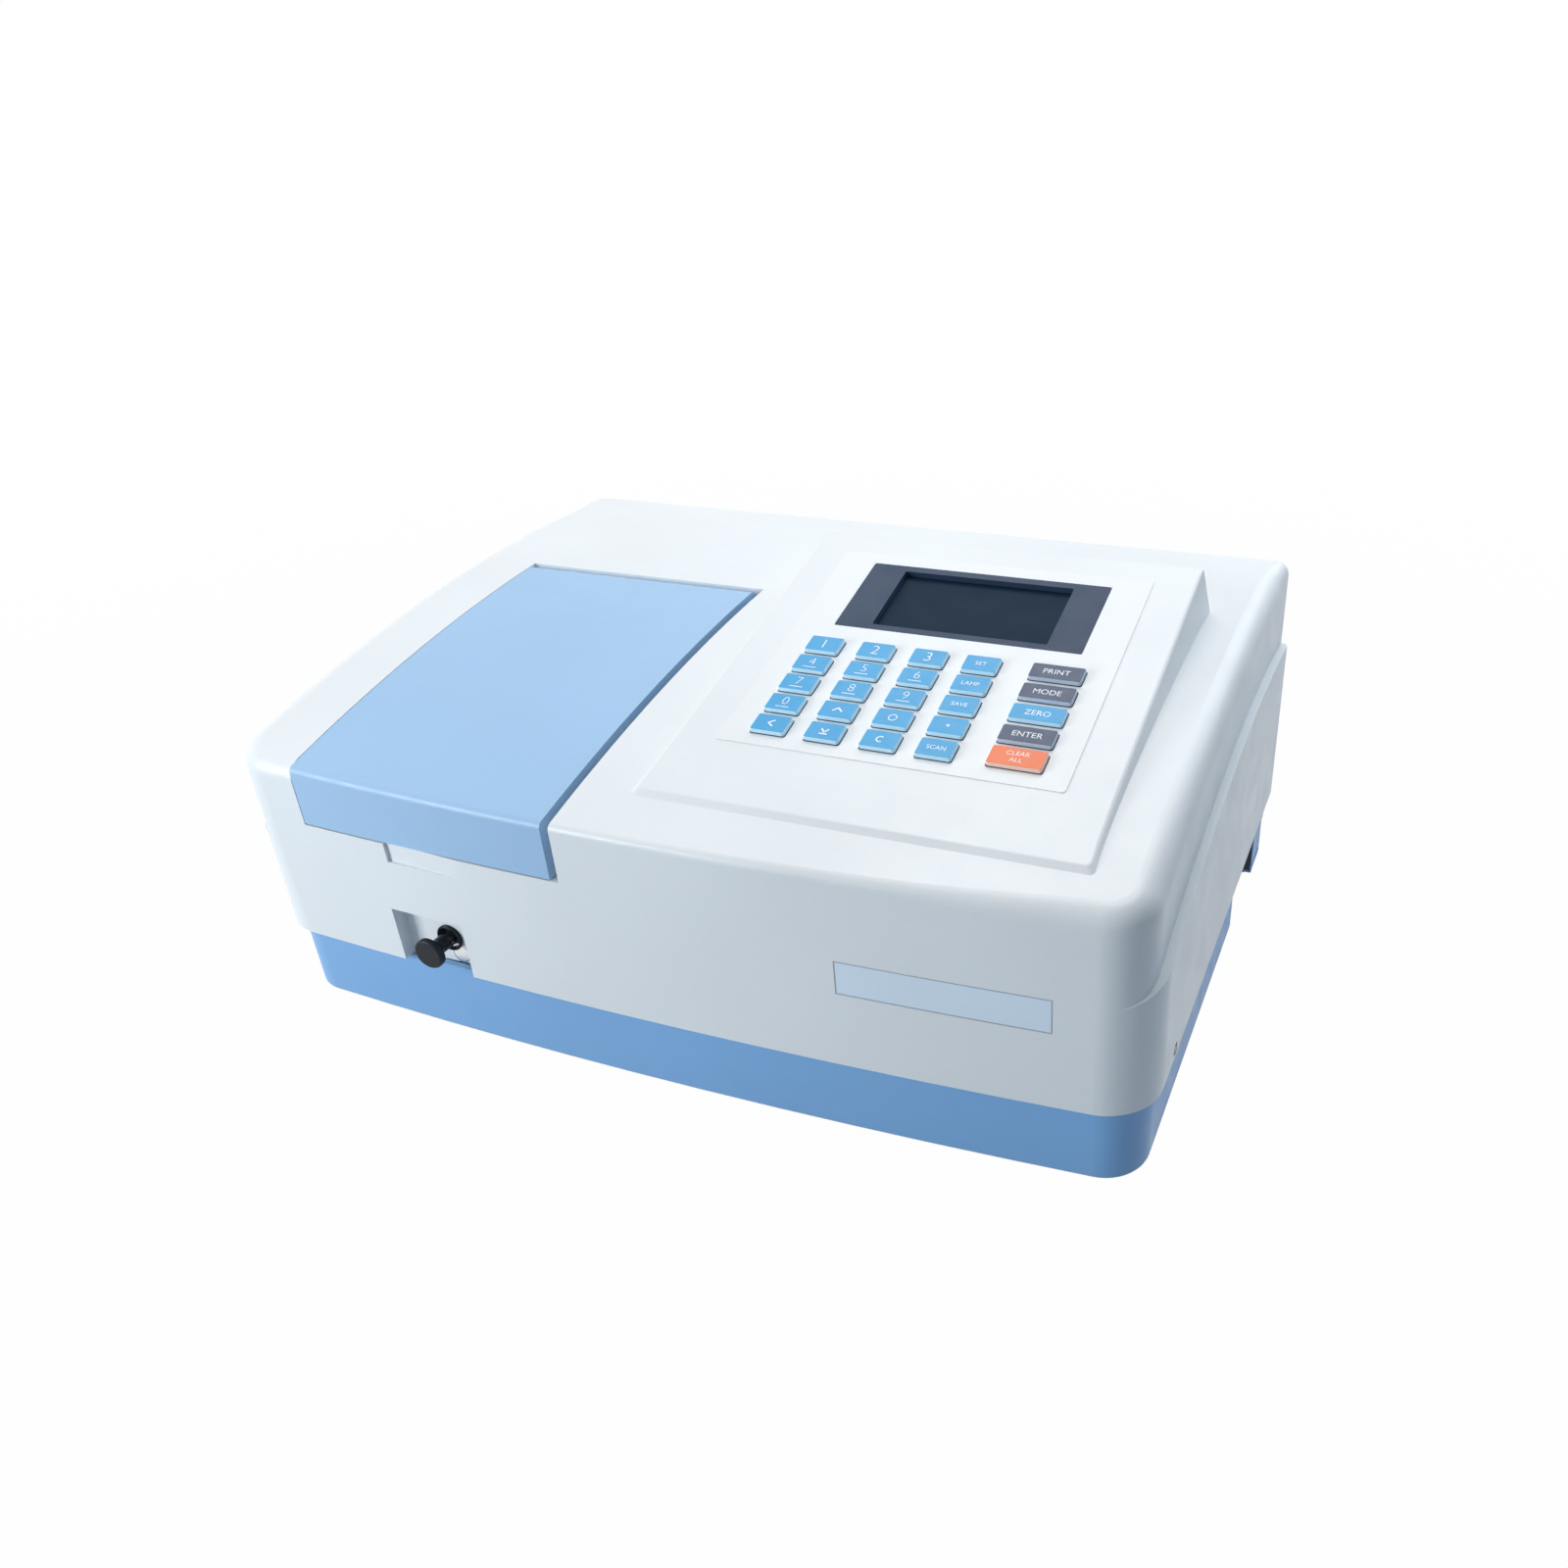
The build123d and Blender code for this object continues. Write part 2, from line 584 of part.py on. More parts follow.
# Four square cells, open at the top
with BuildPart() as cells:
    for n in range(4):
        y = BEAM_Y + n * CELL_PITCH
        half, inside = CELL / 2, CELL / 2 - 1.25
        low = CELL_BOTTOM + 0.1
        add(box(ROD_X - half, ROD_X + half, y - half, y + half, low, low + CELL_HEIGHT))
        add(
            box(ROD_X - inside, ROD_X + inside, y - inside, y + inside, low + 1.25, low + CELL_HEIGHT + 1),
            mode=Mode.SUBTRACT,
        )
cells.part.label = "cuvettes"

# Pull rod, its turned knob and the dished bushing in the cover
pull_rod = rod(ROD_R, (ROD_X, KNOB_FACE + 6, ROD_Z), (ROD_X, CARRIAGE_FRONT + 12, ROD_Z))
pull_rod.label = "pull_rod"
ALONG_ROD = Plane(origin=(ROD_X, KNOB_FACE, ROD_Z), x_dir=(1, 0, 0), z_dir=(0, 0, 1))
with BuildPart() as knob:
    with BuildSketch(ALONG_ROD) as knob_side:
        with BuildLine():
            Polyline((0, 0), (6.6, 0))
            ThreePointArc((6.6, 0), (7.6, 0.5), (7.8, 1.6))
            Polyline((7.8, 1.6), (7.8, 3.0))
            ThreePointArc((7.8, 3.0), (5.2, 4.6), (3.9, 7.5))
            Polyline((3.9, 7.5), (3.9, 12), (ROD_R + RUNNING, 12), (ROD_R + RUNNING, 5.8), (0, 5.8), (0, 0))
        make_face()
    revolve(axis=Axis((ROD_X, KNOB_FACE, ROD_Z), (0, 1, 0)))
knob.part.label = "pull_knob"
with BuildPart() as bushing:
    with BuildSketch(Plane(origin=(ROD_X, KNOB_BACK, ROD_Z), x_dir=(1, 0, 0), z_dir=(0, 0, 1))):
        Polygon(
            (ROD_R + RUNNING, 5.5),
            (BUSHING_R - RUNNING, 5.5),
            (BUSHING_R - RUNNING, 0),
            (7.0, 0),
            (7.0, -1.2),
            (6.2, -2.0),
            (4.4, 1.5),
            (ROD_R + RUNNING, 1.5),
            align=None,
        )
    revolve(axis=Axis((ROD_X, KNOB_BACK, ROD_Z), (0, 1, 0)))
bushing.part.label = "rod_bushing"

# Label sheet over the console and the frame round the screen
with BuildPart() as label:
    add(face_box(*LABEL, 0, LABEL_THICK, LABEL_CORNER))
    for key in KEYS:
        add(key_opening(key, FIT_GAP, -1, 2), mode=Mode.SUBTRACT)
    add(face_box(*BEZEL, -1, 2, 1.0), mode=Mode.SUBTRACT)
label.part.label = "keypad_overlay"
BEZEL_DEPTH = 2.6
with BuildPart() as bezel:
    x0, x1, v0, v1 = BEZEL
    add(face_box(x0 + 0.1, x1 - 0.1, v0 + 0.1, v1 - 0.1, -BEZEL_DEPTH, LABEL_THICK, 1.0))
    add(face_box(*SCREEN, -5, 2, 0.8), mode=Mode.SUBTRACT)
bezel.part.label = "display_bezel"
BOARD_TOP = -7.4
with BuildPart() as glass:
    add(face_box(x0 + 0.6, x1 - 0.6, v0 + 0.6, v1 - 0.6, BOARD_TOP, -BEZEL_DEPTH, 1.0))
glass.part.label = "display_glass"

# Board under the keys, with a contact dome for each key and posts up to the cover
with BuildPart() as key_board:
    add(face_box(LABEL[0] + 2, LABEL[1] - 2, LABEL[2] + 2, LABEL[3] - 2, BOARD_TOP - 1.6, BOARD_TOP, 2))
    for x in (LABEL[0] + 7, LABEL[1] - 7):
        for v in (LABEL[2] + 5, LABEL[3] - 5):
            with BuildSketch(console_at(BOARD_TOP)):
                with Locations((x, v)):
                    Circle(2.5)
            extrude(amount=-BOARD_TOP - WALL)
    for x, v, wide, deep, name in KEYS:
        with BuildSketch(console_at(BOARD_TOP)):
            with Locations((x, v)):
                Circle(2.5)
        extrude(amount=0.5)
key_board.part.label = "keypad_board"

# Keys: a rounded cap standing out of the label and a flange that keeps it under the cover
KEY_FLANGE = 1.1
caps = []
for key in KEYS:
    x, v, wide, deep, name = key
    with BuildPart() as cap:
        add(key_opening(key, 0, BOARD_TOP + 0.6 + KEY_TRAVEL, LABEL_THICK + KEY_RISE))
        fillet(cap.faces().sort_by(Axis((0, 0, 0), CONSOLE.z_dir))[-1].edges(), 0.6)
        add(key_opening(key, KEY_FLANGE, -WALL - 1.3, -WALL - 0.1))
    cap.part.label = name
    caps.append(cap.part)

# Rear panel: folded steel plate with cut-outs for the inlet, ports, fan and air
PANEL_FRONT, PANEL_BACK = PANEL_Y
INLET_HALF = (14.0, 24.0)
GRILLE_RADII = (25.0, 19.0, 13.0, 7.0)
GRILLE_SLOT = 3.0
GRILLE_SPOKE = 4.0
with BuildPart() as panel:
    add(box(-PANEL_X + 2, PANEL_X - 2, PANEL_FRONT, PANEL_BACK, *PANEL_Z))
    add(box(16 - PANEL_X, PANEL_X - 16, PANEL_FRONT - 10, PANEL_FRONT + 1, PANEL_Z[0], PANEL_Z[0] + 1.5))
    w, h = INLET_HALF
    add(
        box(INLET_X - w - 0.2, INLET_X + w + 0.2, PANEL_FRONT - 2, REAR, INLET_Z - h - 0.2, INLET_Z + h + 0.2),
        mode=Mode.SUBTRACT,
    )
    for x, half_w, half_h in PORTS:
        w, h = half_w + 0.2, half_h + 0.2
        add(box(x - w, x + w, PANEL_FRONT - 2, REAR, PORT_Z - h, PORT_Z + h), mode=Mode.SUBTRACT)
    with BuildSketch(Plane.XZ.offset(-REAR)):
        with Locations((FAN_X, FAN_Z)):
            for radius in GRILLE_RADII:
                Circle(radius + GRILLE_SLOT / 2)
                Circle(radius - GRILLE_SLOT / 2, mode=Mode.SUBTRACT)
            Rectangle(FAN, GRILLE_SPOKE, mode=Mode.SUBTRACT)
            Rectangle(GRILLE_SPOKE, FAN, mode=Mode.SUBTRACT)
        with Locations((-70, FAN_Z)):
            with GridLocations(0, 8, 1, 8):
                SlotOverall(70, 3.4)
    extrude(amount=15, mode=Mode.SUBTRACT)
panel.part.label = "rear_panel"

# Mains inlet with a switch well above it
with BuildPart() as inlet:
    w, h = INLET_HALF
    add(box(INLET_X - w, INLET_X + w, PANEL_FRONT - 28, PANEL_BACK, INLET_Z - h, INLET_Z + h))
    add(box(INLET_X - w - 3, INLET_X + w + 3, PANEL_BACK, PANEL_BACK + 2, INLET_Z - h - 3, INLET_Z + h + 3))
    add(
        box(INLET_X - 11, INLET_X + 11, PANEL_BACK - 16, REAR, INLET_Z - 21, INLET_Z - 4),
        mode=Mode.SUBTRACT,
    )
    for x in (-6, 0, 6):
        add(box(INLET_X + x - 1, INLET_X + x + 1, PANEL_BACK - 17, PANEL_BACK - 2, INLET_Z - 15, INLET_Z - 10))
    add(
        box(INLET_X - 10.5, INLET_X + 10.5, PANEL_BACK - 12, REAR, INLET_Z + 3, INLET_Z + 21),
        mode=Mode.SUBTRACT,
    )
    add(rod(1.55, (INLET_X - 13, ROCKER_Y, ROCKER_Z), (INLET_X + 13, ROCKER_Y, ROCKER_Z)), mode=Mode.SUBTRACT)
inlet.part.label = "power_inlet"

# Rocker of the mains switch, turning on its own pin
with BuildPart() as rocker:
    with BuildSketch(Plane.YZ.offset(INLET_X - 9.8)):
        Polygon(
            (ROCKER_Y - 3, ROCKER_Z - 6),
            (ROCKER_Y + 4.5, ROCKER_Z - 7.6),
            (ROCKER_Y + 3.3, ROCKER_Z),
            (ROCKER_Y + 4.5, ROCKER_Z + 7.6),
            (ROCKER_Y - 3, ROCKER_Z + 6),
            align=None,
        )
    extrude(amount=19.6)
    add(rod(1.5, (INLET_X - 12.5, ROCKER_Y, ROCKER_Z), (INLET_X + 12.5, ROCKER_Y, ROCKER_Z)))
rocker_pin = Axis((INLET_X, ROCKER_Y, ROCKER_Z), (1, 0, 0))
switch = rocker.part.rotate(rocker_pin, ROCKER_TILT)
switch.label = "power_switch"

# Serial and square data sockets
with BuildPart() as ports:
    for x, half_w, half_h in PORTS:
        add(box(x - half_w, x + half_w, PANEL_FRONT - 12, PANEL_BACK + 3, PORT_Z - half_h, PORT_Z + half_h))
        w, h = half_w + 3, half_h + 2
        add(box(x - w, x + w, PANEL_FRONT - 1.6, PANEL_FRONT - 0.1, PORT_Z - h, PORT_Z + h))
        add(
            box(x - half_w + 1, x + half_w - 1, PANEL_BACK - 6, REAR, PORT_Z - half_h + 1, PORT_Z + half_h - 1),
            mode=Mode.SUBTRACT,
        )
ports.part.label = "data_ports"

# Fan: square frame with struts and a bearing pin, and the rotor on it
FAN_Y = (PANEL_FRONT - 15.2, PANEL_FRONT - 0.2)
with BuildPart() as fan_frame:
    y0, y1 = FAN_Y
    add(box(FAN_X - FAN / 2, FAN_X + FAN / 2, y0, y1, FAN_Z - FAN / 2, FAN_Z + FAN / 2))
    fillet(fan_frame.edges().filter_by(Axis.Y), 4)
    add(rod(27.5, (FAN_X, y0 - 1, FAN_Z), (FAN_X, y1 + 1, FAN_Z)), mode=Mode.SUBTRACT)
    for angle in (45, 135, 225, 315):
        cx, cz = math.cos(math.radians(angle)), math.sin(math.radians(angle))
        inner, outer = (FAN_X + 8 * cx, FAN_Z + 8 * cz), (FAN_X + 28.5 * cx, FAN_Z + 28.5 * cz)
        add(rod(1.5, (inner[0], y0 + 1.6, inner[1]), (outer[0], y0 + 1.6, outer[1])))
        x, z = FAN_X + 33 * cx * 1.05, FAN_Z + 33 * cz * 1.05
        add(rod(2.1, (x, y0 - 1, z), (x, y1 + 1, z)), mode=Mode.SUBTRACT)
    add(rod(13, (FAN_X, y0, FAN_Z), (FAN_X, y0 + 4, FAN_Z)))
    add(rod(1.5, (FAN_X, y0, FAN_Z), (FAN_X, y1 - 3, FAN_Z)))
fan_frame.part.label = "fan_frame"
with BuildPart() as rotor:
    y0, y1 = FAN_Y
    add(rod(12.5, (FAN_X, y0 + 4.6, FAN_Z), (FAN_X, y1 - 1, FAN_Z)))
    for n in range(7):
        angle = math.radians(n * 360 / 7)
        outward = Vector(math.cos(angle), 0, math.sin(angle))
        blade = Plane(origin=Vector(FAN_X, y0 + 9.5, FAN_Z) + outward * 11, x_dir=(0, 1, 0), z_dir=outward)
        with BuildSketch(blade):
            RectangleRounded(10, 1.6, 0.7, rotation=38)
        extrude(amount=15)
    add(rod(1.5 + RUNNING, (FAN_X, y0, FAN_Z), (FAN_X, y1 + 1, FAN_Z)), mode=Mode.SUBTRACT)
rotor.part.label = "fan_rotor"

# Optics case: open casting on four posts, with a snout into the liner's light port
CASE_X = (-45.0, 90.0)
CASE_Y = (FRONT + 25.0, FRONT + 165.0)
CASE_TOP = 104.0
CASE_FLOOR = POST_TOP + WALL
GRATING = (50.0, FRONT + 90.0)
SOURCE_Y = FRONT + 130.0
WHEEL_X = 104.0
WHEEL_Z = BEAM_Z + 12.0
SHAFT_R = 3.0
PIN_R = 4.0
with BuildPart() as case:
    add(box(*CASE_X, *CASE_Y, POST_TOP, CASE_TOP))
    fillet(case.edges().filter_by(Axis.Z), 6)
    add(
        box(CASE_X[0] + WALL, CASE_X[1] - WALL, CASE_Y[0] + WALL, CASE_Y[1] - WALL, CASE_FLOOR, CASE_TOP + 1),
        mode=Mode.SUBTRACT,
    )
    add(rod(7.5, (CASE_X[0] + 1, BEAM_Y, BEAM_Z), (LINER[1] - LINER_WALL + 0.5, BEAM_Y, BEAM_Z)))
    add(rod(5, (CASE_X[0] + 5, BEAM_Y, BEAM_Z), (LINER[1] - 5, BEAM_Y, BEAM_Z)), mode=Mode.SUBTRACT)
    add(rod(6, (CASE_X[1] - 5, SOURCE_Y, BEAM_Z), (CASE_X[1] + 5, SOURCE_Y, BEAM_Z)), mode=Mode.SUBTRACT)
    add(rod(6, (CASE_X[1] - 1, SOURCE_Y, WHEEL_Z), (CASE_X[1] + 7, SOURCE_Y, WHEEL_Z)))
    add(box(CASE_X[1], CASE_X[1] + 8, SOURCE_Y - 7, SOURCE_Y + 7, BEAM_Z - 7, BEAM_Z + 5), mode=Mode.SUBTRACT)
    add(
        rod(SHAFT_R + RUNNING, (CASE_X[1] - 5, SOURCE_Y, WHEEL_Z), (CASE_X[1] + 9, SOURCE_Y, WHEEL_Z)),
        mode=Mode.SUBTRACT,
    )
    add(rod(9, (*GRATING, CASE_FLOOR - 1), (*GRATING, CASE_FLOOR + 4)))
    add(rod(PIN_R + RUNNING, (*GRATING, POST_TOP - 1), (*GRATING, CASE_FLOOR + 5)), mode=Mode.SUBTRACT)
case.part.label = "monochromator_case"

# Grating on its turntable
with BuildPart() as grating:
    x, y = GRATING
    add(rod(PIN_R, (x, y, POST_TOP + 1), (x, y, CASE_FLOOR + 5)))
    add(rod(20, (x, y, CASE_FLOOR + 4.4), (x, y, CASE_FLOOR + 8.4)))
    add(rod(6, (x, y, CASE_FLOOR + 8), (x, y, BEAM_Z - 15)))
    add(box(x - 5, x + 5, y - 16, y + 16, BEAM_Z - 16, BEAM_Z + 16))
    with BuildSketch(Plane.XZ.offset(-y + 15)):
        with Locations((x - 5, BEAM_Z)):
            with GridLocations(1, 4, 1, 8):
                Circle(0.5)
    extrude(amount=-30, mode=Mode.SUBTRACT)
grating.part.label = "grating_turntable"

# Two dished mirrors on pillars that throw the light onto the grating and back
MIRROR_R = 220.0
with BuildPart() as mirrors:
    for y in (BEAM_Y - 34, BEAM_Y + 40):
        add(box(CASE_X[0] + 8, CASE_X[0] + 16, y - 15, y + 15, CASE_FLOOR, BEAM_Z + 17))
        add(box(CASE_X[0] + 5, CASE_X[0] + 22, y - 8, y + 8, CASE_FLOOR, CASE_FLOOR + 5))
        with BuildPart(mode=Mode.PRIVATE) as dish:
            with Locations((CASE_X[0] + 14.6 + MIRROR_R, y, BEAM_Z)):
                Sphere(MIRROR_R)
        add(dish.part, mode=Mode.SUBTRACT)
mirrors.part.label = "collimating_mirrors"

# Filter wheel with six windows on a shaft in the case's boss
with BuildPart() as wheel:
    add(rod(19, (WHEEL_X, SOURCE_Y, WHEEL_Z), (WHEEL_X + 3, SOURCE_Y, WHEEL_Z)))
    add(rod(5.5, (CASE_X[1] + 7.5, SOURCE_Y, WHEEL_Z), (WHEEL_X + 6, SOURCE_Y, WHEEL_Z)))
    add(rod(SHAFT_R, (CASE_X[1] - 1, SOURCE_Y, WHEEL_Z), (WHEEL_X + 6, SOURCE_Y, WHEEL_Z)))
    with BuildSketch(Plane.YZ.offset(WHEEL_X - 1)):
        with Locations((SOURCE_Y, WHEEL_Z)):
            with PolarLocations(12.0, 6, start_angle=-90):
                Circle(4.2)
    extrude(amount=5, mode=Mode.SUBTRACT)
wheel.part.label = "filter_wheel"

# Lamp house: vented tray with a light port, and the two lamps in it
HOUSE = (120.0, 212.0, -70.0, 50.0)
HOUSE_TOP = 112.0
HOUSE_WALL = 2.0
with BuildPart() as house:
    x0, x1, y0, y1 = HOUSE
    add(box(x0, x1, y0, y1, FLOOR, HOUSE_TOP))
    add(
        box(x0 + HOUSE_WALL, x1 - HOUSE_WALL, y0 + HOUSE_WALL, y1 - HOUSE_WALL, FLOOR + HOUSE_WALL, HOUSE_TOP + 1),
        mode=Mode.SUBTRACT,
    )
    add(rod(7, (x0 - 5, SOURCE_Y, BEAM_Z), (x0 + 5, SOURCE_Y, BEAM_Z)), mode=Mode.SUBTRACT)
    with BuildSketch(Plane.XZ.offset(-y1 - 5)):
        with Locations(((x0 + x1) / 2, 62)):
            with GridLocations(11, 0, 7, 1):
                SlotOverall(60, 5, rotation=90)
    extrude(amount=10, mode=Mode.SUBTRACT)
    with BuildSketch(Plane.XY.offset(FLOOR - 1)):
        with Locations((168, -10)):
            with GridLocations(0, 12, 1, 4):
                SlotOverall(56, 4)
    extrude(amount=5, mode=Mode.SUBTRACT)
    add(rod(6, (*SOURCE_MIRROR, FLOOR + 1), (*SOURCE_MIRROR, FLOOR + 12)))
    add(rod(SHAFT_R + RUNNING, (*SOURCE_MIRROR, FLOOR + 4), (*SOURCE_MIRROR, FLOOR + 13)), mode=Mode.SUBTRACT)
house.part.label = "lamp_house"
LAMP_FLOOR = FLOOR + HOUSE_WALL
with BuildPart() as deuterium:
    x, y = DEUTERIUM
    add(rod(17, (x, y, LAMP_FLOOR), (x, y, LAMP_FLOOR + 18)))
    add(rod(14, (x, y, LAMP_FLOOR + 17), (x, y, BEAM_Z + 14)))
    with Locations((x, y, BEAM_Z + 14)):
        Sphere(14)
deuterium.part.label = "deuterium_lamp"
with BuildPart() as halogen:
    x, y = HALOGEN
    add(box(x - 11, x + 11, y - 9, y + 9, LAMP_FLOOR, BEAM_Z - 22))
    add(rod(7, (x, y, BEAM_Z - 23), (x, y, BEAM_Z - 12)))
    add(rod(5.5, (x, y, BEAM_Z - 13), (x, y, BEAM_Z + 4)))
    with Locations((x, y, BEAM_Z + 4)):
        Sphere(5.5)
halogen.part.label = "halogen_lamp"

# Mirror that turns to pick one lamp or the other
with BuildPart() as source_mirror:
    x, y = SOURCE_MIRROR
    add(rod(SHAFT_R, (x, y, FLOOR + 5), (x, y, BEAM_Z - 11)))
    add(rod(8, (x, y, FLOOR + 12.4), (x, y, FLOOR + 16)))
    add(box(x - 1.5, x + 1.5, y - 12, y + 12, BEAM_Z - 12, BEAM_Z + 12))
source_mirror.part.label = "source_mirror"

# Detector housing on its pillar, with a snout into the liner's other light port
DETECTOR_X = (-212.0, -180.0)
with BuildPart() as detector:
    x0, x1 = DETECTOR_X
    add(box(x0, x1, BEAM_Y - 19, BEAM_Y + 19, BEAM_Z - 20, BEAM_Z + 19))
    fillet(detector.edges().filter_by(Axis.X), 3)
    add(rod(7.5, (x1 - 1, BEAM_Y, BEAM_Z), (LINER[0] + LINER_WALL - 0.5, BEAM_Y, BEAM_Z)))
    add(rod(5, (x1 - 12, BEAM_Y, BEAM_Z), (LINER[0] + 5, BEAM_Y, BEAM_Z)), mode=Mode.SUBTRACT)
    add(box(x0 + 6, x1 - 6, BEAM_Y - 10, BEAM_Y + 10, FLOOR, BEAM_Z - 19))
    add(box(x0, x1, BEAM_Y - 16, BEAM_Y + 16, FLOOR, FLOOR + 3))
detector.part.label = "detector"

# Main board with its chips and connectors
with BuildPart() as board:
    add(box(-40, 110, 30, 135, BOARD_Z, BOARD_Z + 1.6))
    for x0, x1, y0, y1, high in CHIPS:
        add(box(x0, x1, y0, y1, BOARD_Z + 1.5, BOARD_Z + 1.6 + high))
    for x, y in BOARD_POSTS:
        add(rod(1.6, (x, y, BOARD_Z - 1), (x, y, BOARD_Z + 3)), mode=Mode.SUBTRACT)
board.part.label = "main_board"

# Power supply in a vented steel box
with BuildPart() as supply:
    x0, x1, y0, y1 = SUPPLY
    add(box(x0, x1, y0, y1, FLOOR, SUPPLY_TOP))
    add(box(x0 + 1.5, x1 - 1.5, y0 + 1.5, y1 - 1.5, FLOOR + 1.5, SUPPLY_TOP - 1.5), mode=Mode.SUBTRACT)
    with BuildSketch(Plane.XY.offset(SUPPLY_TOP - 3)):
        with Locations(((x0 + x1) / 2, (y0 + y1) / 2)):
            with GridLocations(0, 10, 1, 5):
                SlotOverall(80, 4)
    extrude(amount=5, mode=Mode.SUBTRACT)
supply.part.label = "power_supply"

# Feet, bumpers and the side screws
with BuildPart() as feet:
    for x, y in FEET:
        add(rod(FOOT_R, (x, y, 0), (x, y, FOOT)))
        add(rod(STUD_R - 0.1, (x, y, FOOT - 1), (x, y, FLOOR + 1)))
        add(rod(STUD_R + 1, (x, y, FLOOR), (x, y, FLOOR + 1.5)))
    fillet(feet.faces().group_by(Axis.Z)[0].edges(), 1.5)
feet.part.label = "feet"
with BuildPart() as bumpers:
    for side in (-1, 1):
        x = side * BUMPER_X
        add(rod(BUMPER_R, (x, BASE_REAR - 9, BUMPER_Z), (x, REAR + BUMPER, BUMPER_Z)))
    fillet(bumpers.faces().group_by(Axis.Y)[-1].edges(), 2.5)
bumpers.part.label = "rear_bumpers"
with BuildPart() as screws:
    for side, y in SCREWS:
        seat = side * (HALF - HEAD)
        add(rod(SCREW_R, (seat, y, SCREW_Z), (side * (UPPER_HALF - 9), y, SCREW_Z)))
        add(rod(HEAD_R, (seat, y, SCREW_Z), (seat + side * HEAD * 0.85, y, SCREW_Z)))
        slot = seat + side * HEAD * 0.85
        x0, x1 = sorted((slot - side * 0.7, slot + side))
        add(box(x0, x1, y - 2, y + 2, SCREW_Z - 0.4, SCREW_Z + 0.4), mode=Mode.SUBTRACT)
        add(box(x0, x1, y - 0.4, y + 0.4, SCREW_Z - 2, SCREW_Z + 2), mode=Mode.SUBTRACT)
screws.part.label = "cover_screws"

# Every piece goes out as a file of its own
PIECES = [
    cover.part, nameplate, base.part, lid.part, liner.part, guides.part, carriage.part, cells.part,
    pull_rod, knob.part, bushing.part, label.part, bezel.part, glass.part, key_board.part, *caps,
    panel.part, inlet.part, switch, ports.part, fan_frame.part, rotor.part, case.part,
    grating.part, mirrors.part, wheel.part, house.part, deuterium.part, halogen.part,
    source_mirror.part, detector.part, board.part, supply.part, feet.part, bumpers.part, screws.part,
]
for piece in PIECES:
    export_step(piece, f"parts/{piece.label}.step")
    print(piece.label, round(piece.volume / 1000, 1), "cm3", len(piece.solids()), "solids")
print(len(PIECES), "pieces")
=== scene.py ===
# %% [markdown]
# # Dressing a bench spectrophotometer
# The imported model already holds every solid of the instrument: the white cover, the blue pan and lid, the
# keys and the optics inside. This lesson gives those solids their finishes, prints the keypad, adds the
# small hardware, and lights the instrument like a catalogue picture. Blender works in metres, in the
# same frame as the model: +Z is up, the front faces -Y and the feet stand on Z = 0.

import math

import bmesh
import bpy
from mathutils import Matrix, Vector


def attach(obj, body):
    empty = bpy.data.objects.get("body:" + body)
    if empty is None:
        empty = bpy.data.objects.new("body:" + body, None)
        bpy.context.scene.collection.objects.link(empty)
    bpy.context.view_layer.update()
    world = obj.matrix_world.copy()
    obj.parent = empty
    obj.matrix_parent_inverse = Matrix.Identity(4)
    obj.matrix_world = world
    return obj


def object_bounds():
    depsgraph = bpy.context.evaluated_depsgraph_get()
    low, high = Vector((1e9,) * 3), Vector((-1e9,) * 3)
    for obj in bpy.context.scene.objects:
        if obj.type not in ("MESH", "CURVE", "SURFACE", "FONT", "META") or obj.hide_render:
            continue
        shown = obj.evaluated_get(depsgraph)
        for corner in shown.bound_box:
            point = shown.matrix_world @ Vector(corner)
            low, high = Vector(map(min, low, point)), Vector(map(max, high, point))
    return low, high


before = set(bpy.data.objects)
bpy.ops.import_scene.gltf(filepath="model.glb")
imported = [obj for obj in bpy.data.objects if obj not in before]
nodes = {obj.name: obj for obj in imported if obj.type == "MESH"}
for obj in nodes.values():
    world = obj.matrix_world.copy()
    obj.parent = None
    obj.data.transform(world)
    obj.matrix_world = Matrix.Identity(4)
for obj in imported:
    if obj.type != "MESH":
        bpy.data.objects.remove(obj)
cad_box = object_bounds()
MM = 0.001
low_corner, high_corner = ([round(v, 3) for v in corner] for corner in cad_box)
print(len(nodes), "solids, box from", low_corner, "to", high_corner)

# %% [markdown]
# ## The camera
# The photograph looks down from the front right. Its edges were fitted to a pinhole camera, which gave
# the place, the heading, the pitch, a slight roll and the lens. The small shift stands for a picture
# that was cropped off centre.

# %% Place the camera
CAMERA_PLACE = Vector((0.305006, -0.542952, 0.407972))
HEADING = math.radians(20.708)
PITCH = math.radians(30.061)
ROLL = math.radians(-1.004)
SENSOR = 36
LENS = 29.353
SHIFT = (-0.12458, 0.03472)

forward = Vector(
    (-math.sin(HEADING) * math.cos(PITCH), math.cos(HEADING) * math.cos(PITCH), -math.sin(PITCH))
)
level = Vector((math.cos(HEADING), math.sin(HEADING), 0))
above = level.cross(forward)
camera_right = math.cos(ROLL) * level + math.sin(ROLL) * above
camera_up = -math.sin(ROLL) * level + math.cos(ROLL) * above

lens = bpy.data.cameras.new("photo_camera")
lens.sensor_width = SENSOR
lens.lens = LENS
lens.shift_x, lens.shift_y = SHIFT
camera = bpy.data.objects.new("photo_camera", lens)
camera.matrix_world = Matrix.Translation(CAMERA_PLACE) @ Matrix(
    (camera_right, camera_up, -forward)
).transposed().to_4x4()
bpy.context.collection.objects.link(camera)
bpy.context.scene.camera = camera
bpy.context.scene.view_settings.view_transform = "Standard"
print("camera", round(lens.lens, 1), "mm, looking", [round(v, 2) for v in forward])

